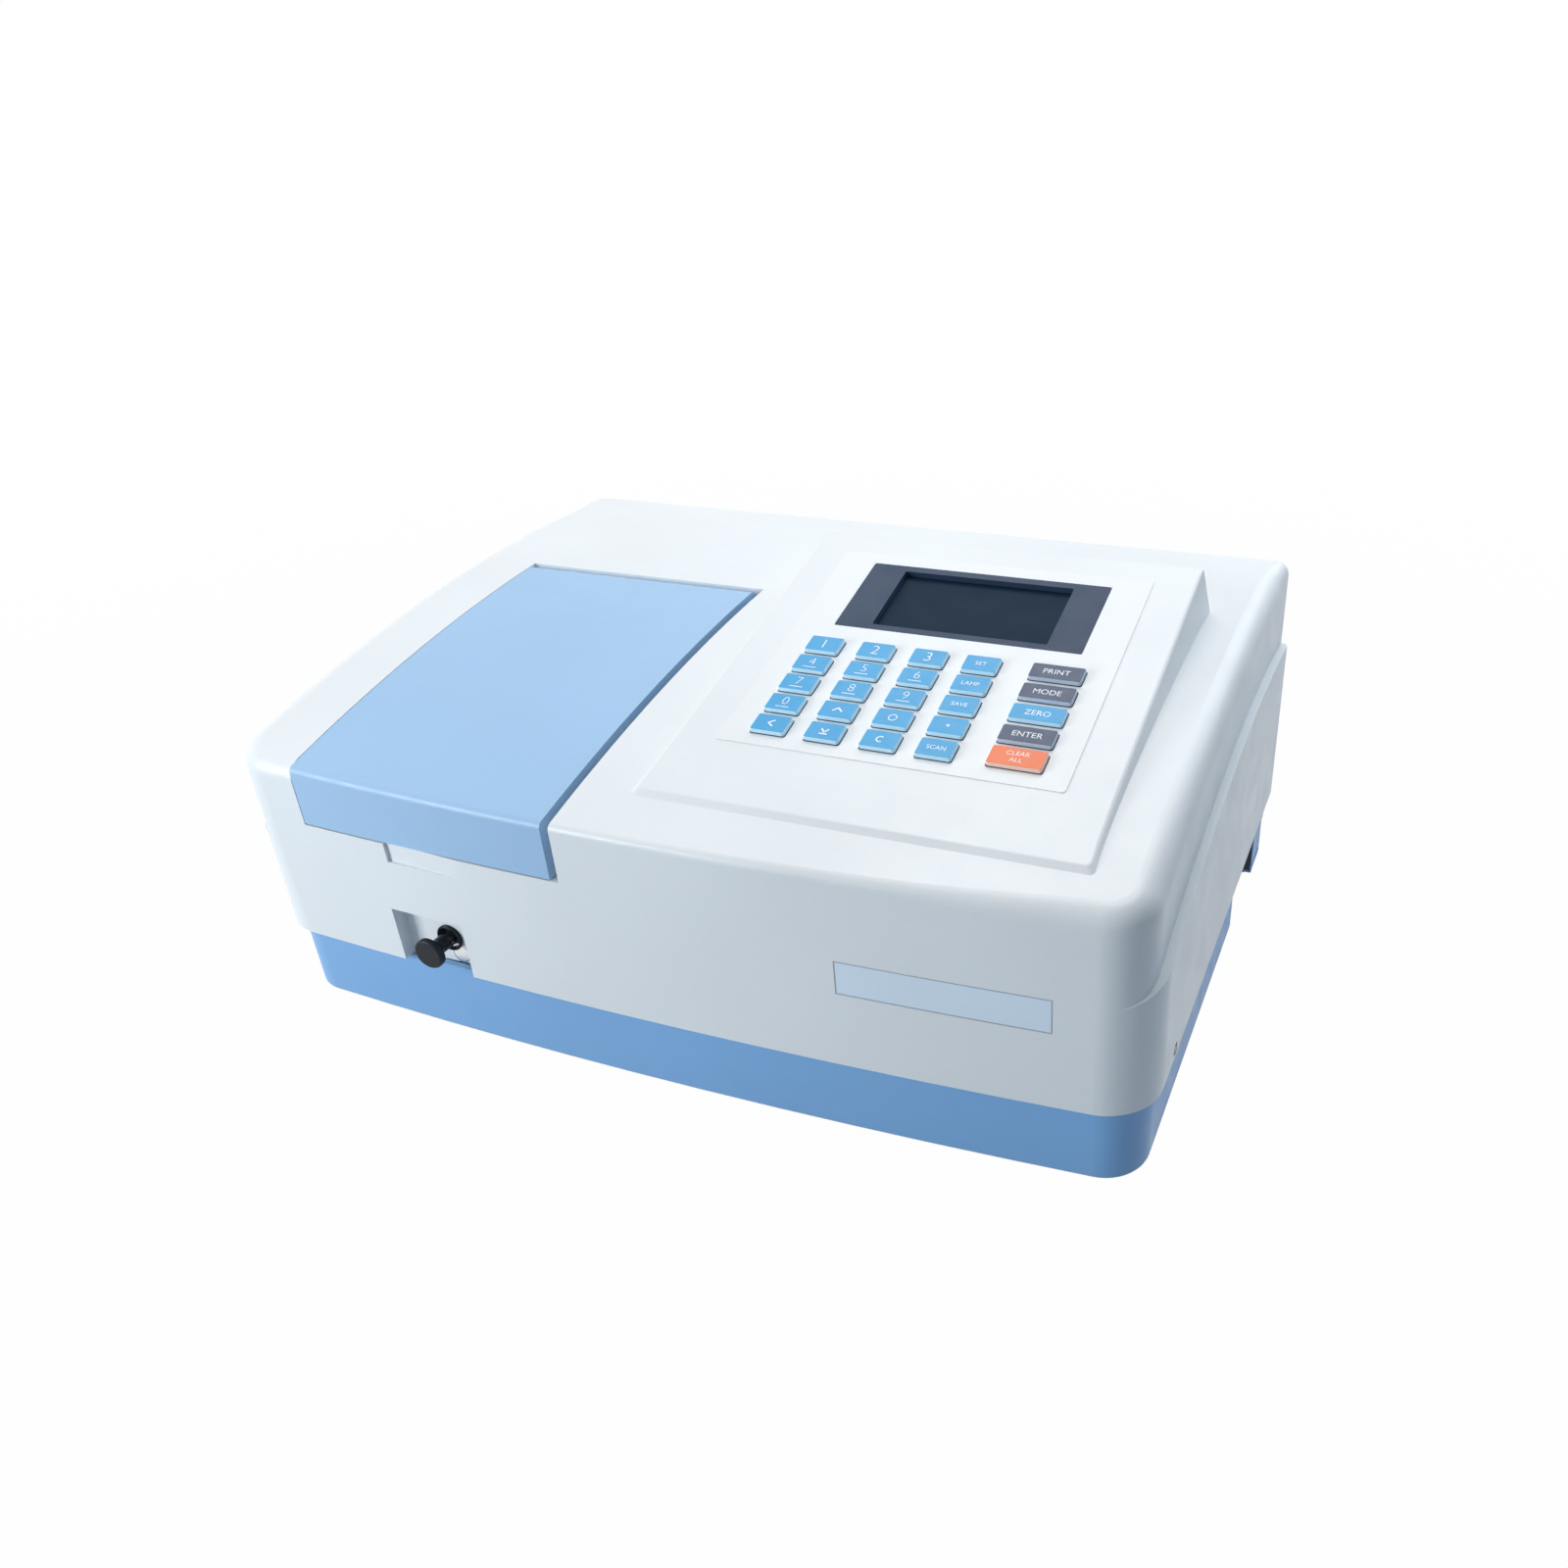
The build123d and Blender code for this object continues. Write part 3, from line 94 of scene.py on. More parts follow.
# %% [markdown]
# ## Light and floor
# The picture is high key: a low lamp at the front left models the bowed front, one overhead whitens the
# top, a weaker one behind the right shoulder lifts the console's flank, and a pale floor hardly shows a
# shadow. The room is grey for the light it gives, bluer on the right, where the picture's shaded wall is
# bluer, and white for what the eye and a polished part see.

# %% Lamps, room and floor
LIT_POINT = Vector((0.0, 0.0, 0.1))
WHITE = (1.0, 1.0, 1.0, 1.0)
ROOM_LIGHT = 0.33
ROOM_COLOUR = (0.92, 0.97, 1.0, 1.0)
RIGHT_COLOUR = (0.42, 0.62, 0.87, 1.0)


def seen_directly(tree):
    """One where a camera, glossy or transmitted ray looks at the surface, otherwise nought."""
    path = tree.nodes.new("ShaderNodeLightPath")
    total = None
    for ray in ("Is Camera Ray", "Is Glossy Ray", "Is Transmission Ray"):
        if total is None:
            total = path.outputs[ray]
            continue
        most = tree.nodes.new("ShaderNodeMath")
        most.operation = "MAXIMUM"
        tree.links.new(total, most.inputs[0])
        tree.links.new(path.outputs[ray], most.inputs[1])
        total = most.outputs[0]
    return total


def area_lamp(name, place, width, power, colour):
    """Square lamp at a place that faces the middle of the instrument."""
    lamp = bpy.data.lights.new(name, "AREA")
    lamp.size = width
    lamp.energy = power
    lamp.color = colour
    holder = bpy.data.objects.new(name, lamp)
    holder.matrix_world = Matrix.Translation(place) @ (
        (LIT_POINT - Vector(place)).to_track_quat("-Z", "Y").to_matrix().to_4x4()
    )
    bpy.context.collection.objects.link(holder)


area_lamp("left_lamp", (-0.9, -1.0, 0.45), 0.6, 11.9, (0.935, 0.975, 1.0))
area_lamp("ceiling_lamp", (-0.05, 0.35, 1.25), 0.9, 8.1, (1.0, 0.98, 0.955))
area_lamp("rear_lamp", (0.5, 0.9, 0.9), 0.8, 5.6, (0.80, 0.91, 1.0))

room = bpy.data.worlds.new("white_room")
bpy.context.scene.world = room
room.use_nodes = True
room_nodes = room.node_tree
ambient = room_nodes.nodes["Background"]
sideways = room_nodes.nodes.new("ShaderNodeSeparateXYZ")
room_nodes.links.new(room_nodes.nodes.new("ShaderNodeTexCoord").outputs["Generated"], sideways.inputs[0])
bluer = room_nodes.nodes.new("ShaderNodeMix")
bluer.data_type = "RGBA"
bluer.inputs[6].default_value = ROOM_COLOUR
bluer.inputs[7].default_value = RIGHT_COLOUR
room_nodes.links.new(sideways.outputs["X"], bluer.inputs["Factor"])
room_nodes.links.new(bluer.outputs[2], ambient.inputs["Color"])
ambient.inputs["Strength"].default_value = ROOM_LIGHT
backdrop = room_nodes.nodes.new("ShaderNodeBackground")
backdrop.inputs["Color"].default_value = WHITE
choose = room_nodes.nodes.new("ShaderNodeMixShader")
room_nodes.links.new(seen_directly(room_nodes), choose.inputs[0])
room_nodes.links.new(ambient.outputs[0], choose.inputs[1])
room_nodes.links.new(backdrop.outputs[0], choose.inputs[2])
room_nodes.links.new(choose.outputs[0], room_nodes.nodes["World Output"].inputs["Surface"])

FLOOR_SIZE = 30.0
FLOOR_GLOW = 0.985
FLOOR_NEAR, FLOOR_FAR = 0.45, 1.3
PAPER = (0.33, 0.40, 0.47, 1.0)
floor_shape = bmesh.new()
bmesh.ops.create_grid(floor_shape, x_segments=1, y_segments=1, size=FLOOR_SIZE / 2)
floor_mesh = bpy.data.meshes.new("studio_floor")
floor_shape.to_mesh(floor_mesh)
floor_shape.free()
floor = bpy.data.objects.new("studio_floor", floor_mesh)
bpy.context.collection.objects.link(floor)
floor_finish = bpy.data.materials.new("studio_floor")
floor_finish.use_nodes = True
floor_tree = floor_finish.node_tree
paper = floor_tree.nodes["Principled BSDF"]
paper.inputs["Base Color"].default_value = PAPER
paper.inputs["Roughness"].default_value = 0.9
paper.inputs["Specular IOR Level"].default_value = 0.0
glow = floor_tree.nodes.new("ShaderNodeEmission")
glow.inputs["Color"].default_value = WHITE
away = floor_tree.nodes.new("ShaderNodeVectorMath")
away.operation = "LENGTH"
floor_tree.links.new(floor_tree.nodes.new("ShaderNodeTexCoord").outputs["Object"], away.inputs[0])
fade = floor_tree.nodes.new("ShaderNodeMapRange")
fade.inputs["From Min"].default_value = FLOOR_NEAR
fade.inputs["From Max"].default_value = FLOOR_FAR
fade.inputs["To Min"].default_value = FLOOR_GLOW
floor_tree.links.new(away.outputs["Value"], fade.inputs["Value"])
portion = floor_tree.nodes.new("ShaderNodeMath")
portion.operation = "MULTIPLY"
floor_tree.links.new(fade.outputs["Result"], portion.inputs[1])
floor_mix = floor_tree.nodes.new("ShaderNodeMixShader")
floor_tree.links.new(seen_directly(floor_tree), portion.inputs[0])
floor_tree.links.new(portion.outputs[0], floor_mix.inputs[0])
floor_tree.links.new(paper.outputs[0], floor_mix.inputs[1])
floor_tree.links.new(glow.outputs[0], floor_mix.inputs[2])
floor_tree.links.new(floor_mix.outputs[0], floor_tree.nodes["Material Output"].inputs["Surface"])
floor_mesh.materials.append(floor_finish)

# %% [markdown]
# ## A small kit for finishes
# Every finish below is a Principled shader with slow and fine patterns on Object coordinates: a wide
# noise that shifts the colour a little, as handling and uneven paint do, a middling one for the gloss,
# and a fine pattern for the bump, such as the pebbled skin of moulded plastic. Object coordinates are
# used since every solid sits at the origin, so the grain has one true size in metres all over the
# instrument.

# %% Nodes for a finish


def start_finish(name):
    """New material with its node tree, its shader and the Object coordinates."""
    made = bpy.data.materials.new(name)
    made.use_nodes = True
    tree = made.node_tree
    place = tree.nodes.new("ShaderNodeTexCoord").outputs["Object"]
    return made, tree, tree.nodes["Principled BSDF"], place


def noise(tree, place, size, detail=3.0, rough=0.5):
    """Noise whose blotches are about size metres wide."""
    made = tree.nodes.new("ShaderNodeTexNoise")
    made.inputs["Scale"].default_value = 1.0 / size
    made.inputs["Detail"].default_value = detail
    made.inputs["Roughness"].default_value = rough
    tree.links.new(place, made.inputs["Vector"])
    return made.outputs["Fac"]


def ranged(tree, value, low, high, start=0.3, end=0.7):
    """Value between two limits, stretched to low and high."""
    made = tree.nodes.new("ShaderNodeMapRange")
    made.inputs["From Min"].default_value = start
    made.inputs["From Max"].default_value = end
    made.inputs["To Min"].default_value = low
    made.inputs["To Max"].default_value = high
    tree.links.new(value, made.inputs["Value"])
    return made.outputs["Result"]


def blended(tree, factor, first, second):
    """Mix of two colours, each a colour or a socket."""
    made = tree.nodes.new("ShaderNodeMix")
    made.data_type = "RGBA"
    tree.links.new(factor, made.inputs["Factor"])
    for socket, colour in ((made.inputs[6], first), (made.inputs[7], second)):
        if isinstance(colour, tuple):
            socket.default_value = (*colour, 1.0)
        else:
            tree.links.new(colour, socket)
    return made.outputs[2]


def bumped(tree, shader, height, strength, depth):
    """Bump from a height, in metres of depth, added in front of the shader's normal."""
    made = tree.nodes.new("ShaderNodeBump")
    made.inputs["Strength"].default_value = strength
    made.inputs["Distance"].default_value = depth
    tree.links.new(height, made.inputs["Height"])
    before = shader.inputs["Normal"].links
    if before:
        tree.links.new(before[0].from_socket, made.inputs["Normal"])
    tree.links.new(made.outputs["Normal"], shader.inputs["Normal"])


def shaded(colour, factor):
    """Colour made darker or lighter by a factor."""
    return tuple(min(1.0, c * factor) for c in colour)


FINISHES = {}
print("kit ready")

# %% [markdown]
# ## Moulded and painted plastic
# The cover, pan, lid and most small parts are plastic with a fine pebbled skin, soft in its gloss. The
# pebbles are a Voronoi pattern about half a millimetre wide, since a plain noise looks like cloth.
# Faint darker specks a couple of millimetres wide stand for dust and small marks.

# %% Plastic finishes


def plastic(name, colour, gloss=0.45, pebble=0.55 * MM, depth=0.05 * MM, coat=0.0, drift=0.03, sheen=0.5):
    """Moulded plastic: pebbled skin, slow colour drift and uneven gloss."""
    made, tree, shader, place = start_finish(name)
    wide = ranged(tree, noise(tree, place, 90 * MM), 0.0, 1.0)
    tone = blended(tree, wide, shaded(colour, 1 - drift), shaded(colour, 1 + drift * 0.6))
    speck = ranged(tree, noise(tree, place, 2.2 * MM, 2.0), 0.0, 0.06, 0.55, 0.75)
    tone = blended(tree, speck, tone, shaded(colour, 0.72))
    tree.links.new(tone, shader.inputs["Base Color"])
    tree.links.new(
        ranged(tree, noise(tree, place, 14 * MM, 4.0), gloss - 0.05, gloss + 0.07),
        shader.inputs["Roughness"],
    )
    shader.inputs["Specular IOR Level"].default_value = sheen
    shader.inputs["Coat Weight"].default_value = coat
    shader.inputs["Coat Roughness"].default_value = 0.12
    pebbles = tree.nodes.new("ShaderNodeTexVoronoi")
    pebbles.feature = "SMOOTH_F1"
    pebbles.inputs["Scale"].default_value = 1.0 / pebble
    tree.links.new(place, pebbles.inputs["Vector"])
    bumped(tree, shader, pebbles.outputs["Distance"], 0.35, depth)
    bumped(tree, shader, noise(tree, place, 25 * MM, 2.0), 0.25, 0.25 * MM)
    FINISHES[name] = made


plastic("cover_white", (0.790, 0.820, 0.842), 0.35)
plastic("base_blue", (0.205, 0.430, 0.745), 0.44)
plastic("lid_blue", (0.345, 0.540, 0.770), 0.42)
plastic("plate_grey", (0.73, 0.84, 0.95), 0.5, depth=0.02 * MM)
plastic("liner_black", (0.016, 0.017, 0.019), 0.62, depth=0.08 * MM)
plastic("black_moulding", (0.004, 0.008, 0.014), 0.34, pebble=0.9 * MM, depth=0.012 * MM, sheen=0.22)
plastic("inlet_black", (0.022, 0.023, 0.026), 0.36)
plastic("fan_black", (0.020, 0.021, 0.023), 0.45)
plastic("foot_rubber", (0.028, 0.028, 0.030), 0.78, pebble=0.8 * MM, depth=0.10 * MM)
plastic("switch_red", (0.55, 0.030, 0.022), 0.25, depth=0.01 * MM, coat=0.3)
plastic("bezel_slate", (0.032, 0.056, 0.104), 0.46, depth=0.015 * MM, sheen=0.2)
print("plastics:", sorted(FINISHES))

# %% [markdown]
# ## Printed label and keys
# The label is a thin polyester sheet, whiter and a little glossier than the cover. A key is a coloured
# cap whose walls are painted pale as a highlight, the light line under each key, and whose foot is painted
# dark as the shade in the gap beneath it. One recipe does this for all keys: the direction of the surface,
# measured against the slope, picks cap or wall, and the height above the label picks the painted shade.

# %% Label and key finishes
SLOPE = math.radians(16.07)
ACROSS = Vector((1, 0, 0))
UPHILL = Vector((0, math.cos(SLOPE), math.sin(SLOPE)))
OFF_FACE = Vector((0, -math.sin(SLOPE), math.cos(SLOPE)))


def slope_spans(name):
    """Lowest and highest reach of a solid across the console, uphill and off its face, in metres."""
    corners = [v.co for v in nodes[name].data.vertices]
    return [
        (min(c.dot(way) for c in corners), max(c.dot(way) for c in corners))
        for way in (ACROSS, UPHILL, OFF_FACE)
    ]


label_top = slope_spans("keypad_overlay")[2][1]
cap_top = slope_spans("key_1_1")[2][1]


def along(tree, vector, way):
    """How far a vector socket reaches along a direction."""
    made = tree.nodes.new("ShaderNodeVectorMath")
    made.operation = "DOT_PRODUCT"
    made.inputs[1].default_value = way
    tree.links.new(vector, made.inputs[0])
    return made.outputs["Value"]


def key_cap(name, colour, highlit_wall):
    """Coloured cap, its wall painted paler as a highlight and its foot painted dark as shade."""
    made, tree, shader, place = start_finish(name)
    normal = tree.nodes.new("ShaderNodeTexCoord").outputs["Normal"]
    faces_out = ranged(tree, along(tree, normal, OFF_FACE), 0.0, 1.0, 0.72, 0.93)
    height = along(tree, place, OFF_FACE)
    # A thin band just above the label is painted dark: the shade in the gap under the cap.
    painted_foot_shade = ranged(tree, height, 0.0, 1.0, label_top + 0.10 * MM, label_top + 0.35 * MM)
    highlight_and_shade_sides = blended(tree, painted_foot_shade, (0.020, 0.032, 0.075), highlit_wall)
    wide = ranged(tree, noise(tree, place, 9 * MM), 0.0, 1.0)
    cap = blended(tree, wide, shaded(colour, 0.96), shaded(colour, 1.04))
    tree.links.new(blended(tree, faces_out, highlight_and_shade_sides, cap), shader.inputs["Base Color"])
    tree.links.new(ranged(tree, noise(tree, place, 5 * MM), 0.30, 0.42), shader.inputs["Roughness"])
    shader.inputs["Specular IOR Level"].default_value = 0.35
    bumped(tree, shader, noise(tree, place, 0.5 * MM, 2.0), 0.2, 0.02 * MM)
    FINISHES[name] = made


plastic("label_white", (0.808, 0.832, 0.850), 0.34, pebble=0.35 * MM, depth=0.008 * MM, drift=0.008)
# The third colour of each key is its wall, painted pale as a highlight.
key_cap("key_blue", (0.056, 0.368, 0.685), (0.58, 0.82, 0.97))
key_cap("key_dark", (0.046, 0.072, 0.140), (0.50, 0.58, 0.70))
key_cap("key_orange", (0.87, 0.200, 0.078), (0.97, 0.66, 0.55))
KEY_FINISHES = [FINISHES[n] for n in ("key_blue", "key_dark", "key_orange")]
plastic("screen_dark", (0.008, 0.024, 0.048), 0.36, pebble=3 * MM, depth=0.001 * MM, sheen=0.04)
print("cap top stands", round((cap_top - label_top) / MM, 2), "mm above the label")

# %% [markdown]
# ## Metals, glass and the circuit board
# Inside are cast and folded metals. Brushed metal stretches its noise along one direction, a casting
# uses rounder, deeper grain, and every metal shows faint patches. The board is green resin over copper
# tracks, drawn with a brick pattern whose paler lines stand for the tracks.

# %% Metal, glass and board finishes


def metal(name, colour, gloss=0.3, grain=(1.0, 1.0, 1.0), size=0.6 * MM, depth=0.01 * MM):
    """Metal whose grain is stretched by three factors."""
    made, tree, shader, place = start_finish(name)
    stretch = tree.nodes.new("ShaderNodeMapping")
    stretch.inputs["Scale"].default_value = grain
    tree.links.new(place, stretch.inputs["Vector"])
    lines = noise(tree, stretch.outputs["Vector"], size, 4.0, 0.6)
    patches = ranged(tree, noise(tree, place, 22 * MM, 3.0), 0.0, 1.0)
    tone = blended(tree, patches, shaded(colour, 0.95), shaded(colour, 1.03))
    tree.links.new(tone, shader.inputs["Base Color"])
    tree.links.new(ranged(tree, lines, gloss - 0.08, gloss + 0.12), shader.inputs["Roughness"])
    shader.inputs["Metallic"].default_value = 1.0
    bumped(tree, shader, lines, 0.5, depth)
    FINISHES[name] = made


def glass(name, colour, gloss, density):
    """Clear fused quartz or lamp glass with a faint ripple."""
    made, tree, shader, place = start_finish(name)
    shader.inputs["Transmission Weight"].default_value = density
    shader.inputs["IOR"].default_value = 1.46
    tree.links.new(
        blended(tree, ranged(tree, noise(tree, place, 6 * MM), 0.0, 1.0), colour, shaded(colour, 0.96)),
        shader.inputs["Base Color"],
    )
    tree.links.new(
        ranged(tree, noise(tree, place, 4 * MM), gloss, gloss + 0.02), shader.inputs["Roughness"]
    )
    bumped(tree, shader, noise(tree, place, 8 * MM), 0.1, 0.004 * MM)
    FINISHES[name] = made


metal("ground_steel", (0.66, 0.67, 0.68), 0.22, (40.0, 1.0, 40.0), 8 * MM)
metal("panel_steel", (0.62, 0.64, 0.66), 0.42, (1.0, 1.0, 1.0), 3 * MM)
metal("port_metal", (0.70, 0.69, 0.66), 0.28)
metal("casting_grey", (0.45, 0.46, 0.47), 0.55, (1.0, 1.0, 1.0), 1.4 * MM, 0.12 * MM)
metal("filter_frame", (0.30, 0.31, 0.33), 0.35)
metal("lamp_tin", (0.58, 0.59, 0.61), 0.36, (1.0, 30.0, 1.0), 12 * MM)
metal("supply_steel", (0.60, 0.62, 0.63), 0.38, (30.0, 1.0, 1.0), 14 * MM)
metal("mirror_face", (0.93, 0.94, 0.95), 0.10, (1.0, 1.0, 1.0), 20 * MM, 0.001 * MM)
metal("grating_face", (0.80, 0.78, 0.86), 0.16, (1.0, 1.0, 60.0), 12 * MM, 0.004 * MM)
plastic("carriage_black", (0.020, 0.021, 0.024), 0.5, pebble=0.4 * MM, depth=0.03 * MM)
glass("cell_glass", (0.94, 0.98, 0.99), 0.01, 1.0)
glass("lamp_glass", (0.96, 0.97, 0.98), 0.0, 0.96)


def circuit_board(name):
    """Green resin with paler tracks under it and slow patches of another green."""
    made, tree, shader, place = start_finish(name)
    tracks = tree.nodes.new("ShaderNodeTexBrick")
    tracks.inputs["Scale"].default_value = 1.0 / (14 * MM)
    tracks.inputs["Mortar Size"].default_value = 0.035
    tracks.inputs["Color1"].default_value = (0.010, 0.125, 0.055, 1.0)
    tracks.inputs["Color2"].default_value = (0.014, 0.165, 0.070, 1.0)
    tracks.inputs["Mortar"].default_value = (0.055, 0.300, 0.110, 1.0)
    tree.links.new(place, tracks.inputs["Vector"])
    patches = ranged(tree, noise(tree, place, 7 * MM, 5.0), 0.0, 0.5, 0.5, 0.6)
    tree.links.new(
        blended(tree, patches, tracks.outputs["Color"], (0.020, 0.20, 0.085)), shader.inputs["Base Color"]
    )
    tree.links.new(ranged(tree, noise(tree, place, 3 * MM), 0.22, 0.38), shader.inputs["Roughness"])
    bumped(tree, shader, tracks.outputs["Fac"], 0.4, 0.04 * MM)
    FINISHES[name] = made


circuit_board("board_green")
print("finishes:", len(FINISHES))

# %% [markdown]
# ## Dressing the solids
# Each solid of the model names the finish of its slots, so one loop swaps them all. A solid is never
# moved or reshaped here.

# %% Give every solid its finish
undressed = set()
for solid in nodes.values():
    for slot in solid.material_slots:
        wanted = slot.material.name.split(".")[0]
        if wanted in FINISHES:
            slot.material = FINISHES[wanted]
        else:
            undressed.add(wanted)
print("undressed:", sorted(undressed))

# %% [markdown]
# ## Painted gap shade on the blank plate
# The plate in the bowed front lies in a shallow seat whose gap shows as a thin grey line, darkest at the
# right end. That line is painted shade in the plate's finish, one grey all round: it appears where a point
# lies within half a millimetre of an edge of the plate, measured on Object coordinates.

# %% Painted gap shade round the plate
OUTLINE = 0.55 * MM
GAP_SHADE_GREY = (0.40, 0.48, 0.56)
plate_tree = FINISHES["plate_grey"].node_tree
plate_shader = plate_tree.nodes["Principled BSDF"]
plate_place = plate_tree.nodes.new("ShaderNodeTexCoord").outputs["Object"]
plate_corners = [v.co for v in nodes["nameplate"].data.vertices]
line = None
# The mask below marks the painted gap shade along the plate's four edges.
for way in (Vector((1, 0, 0)), Vector((-1, 0, 0)), Vector((0, 0, 1)), Vector((0, 0, -1))):
    reach = max(c.dot(way) for c in plate_corners)
    near_edge = ranged(
        plate_tree, along(plate_tree, plate_place, way), 0.0, 1.0, reach - OUTLINE, reach - OUTLINE / 2
    )
    if line is None:
        line = near_edge
        continue
    either = plate_tree.nodes.new("ShaderNodeMath")
    either.operation = "MAXIMUM"
    plate_tree.links.new(line, either.inputs[0])
    plate_tree.links.new(near_edge, either.inputs[1])
    line = either.outputs[0]
plain_plate = plate_shader.inputs["Base Color"].links[0].from_socket
plate_tree.links.new(
    blended(plate_tree, line, plain_plate, GAP_SHADE_GREY), plate_shader.inputs["Base Color"]
)
print("outline", OUTLINE / MM, "mm wide")

# %% [markdown]
# ## Finishing a new piece
# New pieces are shaped in a bmesh, an editable mesh held in memory. One helper turns it into an object
# that sits at the origin, wears a finish and rides on a body of the model. A round piece is shaded
# smooth, except over edges sharper than 35 degrees.

# %% Helper for new pieces
WELD = 0.001 * MM
SHARP = math.radians(35)


def piece(name, shape, finish, body, smooth=True):
    """Object from a bmesh, dressed and riding on a body."""
    bmesh.ops.remove_doubles(shape, verts=shape.verts, dist=WELD)
    bmesh.ops.recalc_face_normals(shape, faces=shape.faces)
    mesh = bpy.data.meshes.new(name)
    shape.to_mesh(mesh)
    shape.free()
    made = bpy.data.objects.new(name, mesh)
    bpy.context.collection.objects.link(made)
    mesh.materials.append(FINISHES[finish])
    if smooth:
        mesh.shade_smooth()
        mesh.set_sharp_from_angle(angle=SHARP)
    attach(made, body)


def on_slope(x, v, height, turn=0.0):
    """Matrix that lays a flat shape on the console, turned about its own middle."""
    lay = Matrix((ACROSS, UPHILL, OFF_FACE)).transposed().to_4x4()
    return Matrix.Translation(lay @ Vector((x, v, height))) @ lay @ Matrix.Rotation(turn, 4, "Z")


def block(shape, width, depth, height, place):
    """Box of three sizes added to a shape, laid by a matrix."""
    made = bmesh.ops.create_cube(shape, size=1.0, matrix=Matrix.Diagonal((width, depth, height, 1.0)))
    bmesh.ops.transform(shape, matrix=place, verts=made["verts"])


print("helpers ready")

# %% [markdown]
# ## Print on the keys
# White print names the keys: plain digits, arrows, and common words for what such an instrument does.
# The strokes of a digit are drawn by a font, so it starts as a text curve and is made a mesh before it is
# laid on its cap. The print is a real skin a few hundredths of a millimetre thick, so it never flickers
# against the cap, and it rides with its key.

# %% Shapes of the print
PRINT = 0.05 * MM
STROKE = 0.42 * MM
STROKE_END = 0.6
WORD_PARED = 0.02 * MM


def text_shape(word, height, thin):
    """Mesh of a word as tall as height, centred, lying flat, its strokes pared by thin."""
    curve = bpy.data.curves.new("digit", "FONT")
    curve.body = word
    curve.size = height / 0.70
    curve.offset = -thin
    curve.extrude = PRINT / 2
    carrier = bpy.data.objects.new("digit", curve)
    bpy.context.collection.objects.link(carrier)
    ready = carrier.evaluated_get(bpy.context.evaluated_depsgraph_get())
    mesh = bpy.data.meshes.new_from_object(ready)
    bpy.data.objects.remove(carrier)
    bpy.data.curves.remove(curve)
    middle = [
        (min(v.co[i] for v in mesh.vertices) + max(v.co[i] for v in mesh.vertices)) / 2 for i in range(3)
    ]
    mesh.transform(Matrix.Translation([-m for m in middle]))
    return mesh


def add_text(shape, word, height, place, thin=WORD_PARED):
    """Word added to a shape at a place."""
    mesh = text_shape(word, height, thin)
    mesh.transform(place)
    shape.from_mesh(mesh)
    bpy.data.meshes.remove(mesh)


def add_stroke(shape, start, end, width, middle):
    """Straight stroke between two points of a flat drawing laid by a matrix."""
    start, end = Vector((*start, 0)), Vector((*end, 0))
    way = end - start
    lean = Matrix.Rotation(math.atan2(way.y, way.x), 4, "Z")
    laid = middle @ Matrix.Translation((start + end) / 2) @ lean
    block(shape, way.length + width * STROKE_END, width, PRINT, laid)


def add_ring(shape, middle, radius, width, turn=360.0):
    """Flat ring or part of one, made by spinning a small upright face round the middle."""
    start = middle @ Matrix.Translation((radius, 0, 0)) @ Matrix.Rotation(math.radians(90), 4, "X")
    made = bmesh.ops.create_grid(
        shape, x_segments=1, y_segments=1, size=0.5, matrix=start @ Matrix.Diagonal((width, PRINT, 1, 1))
    )
    edge_loop = list({e for w in made["verts"] for e in w.link_edges})
    faces = list({f for w in made["verts"] for f in w.link_faces})
    full = turn >= 360.0
    if full:
        bmesh.ops.delete(shape, geom=faces, context="FACES_ONLY")
    bmesh.ops.spin(
        shape, geom=edge_loop if full else edge_loop + faces, cent=middle.to_translation(),
        axis=middle.to_3x3() @ Vector((0, 0, 1)), angle=math.radians(turn), steps=28, use_merge=full,
    )


# %% [markdown]
# The tables below are the keypad's layout. The upper row shows bare digits and the rows under it a digit
# over a fine line. The last two rows also hold arrows, a ring, a dot and an open ring. Each arrow is
# drawn in millimetres about the middle of its cap, as a list of strokes.

# %% Print every key
DIGIT_KEYS = {
    "key_1_1": ("1", False), "key_1_2": ("2", False), "key_1_3": ("3", False),
    "key_2_1": ("4", True), "key_2_2": ("5", True), "key_2_3": ("6", True),
    "key_3_1": ("7", True), "key_3_2": ("8", True), "key_3_3": ("9", True),
    "key_4_1": ("0", True),
}
ARROW_KEYS = {
    "key_4_2": [((-2.2, -0.9), (0.0, 1.1)), ((0.0, 1.1), (2.2, -0.9))],
    "key_5_1": [((1.3, 1.9), (-1.3, 0.0)), ((-1.3, 0.0), (1.3, -1.9))],
    "key_5_2": [((-1.7, 1.1), (0.0, -0.9)), ((0.0, -0.9), (1.7, 1.1)), ((-1.7, -2.0), (1.7, -2.0))],
}
WORD_KEYS = {
    "key_1_4": ["SET"], "key_2_4": ["LAMP"], "key_3_4": ["SAVE"], "key_5_4": ["SCAN"],
    "key_wide_1": ["PRINT"], "key_wide_2": ["MODE"], "key_wide_3": ["ZERO"], "key_wide_4": ["ENTER"],
    "key_wide_5": ["CLEAR", "ALL"],
}
DIGIT_HEIGHT = 6.4 * MM
SMALL_DIGIT_HEIGHT = 5.2 * MM
WORD_HEIGHT = 2.5 * MM
WIDE_WORD_HEIGHT = 3.3 * MM
DIGIT_PARED = 0.17 * MM
DIGIT_RISE = 1.0 * MM
UNDERLINE_REACH, UNDERLINE_WIDTH = 3.2 * MM, 0.40 * MM
LINE_PITCH = 1.6
keys = sorted(
    n for n in nodes if n.startswith("key_") and nodes[n].material_slots[0].material in KEY_FINISHES
)


def key_middle(name):
    """Middle of a key's cap, across and uphill."""
    (x0, x1), (v0, v1), _ = slope_spans(name)
    return (x0 + x1) / 2, (v0 + v1) / 2


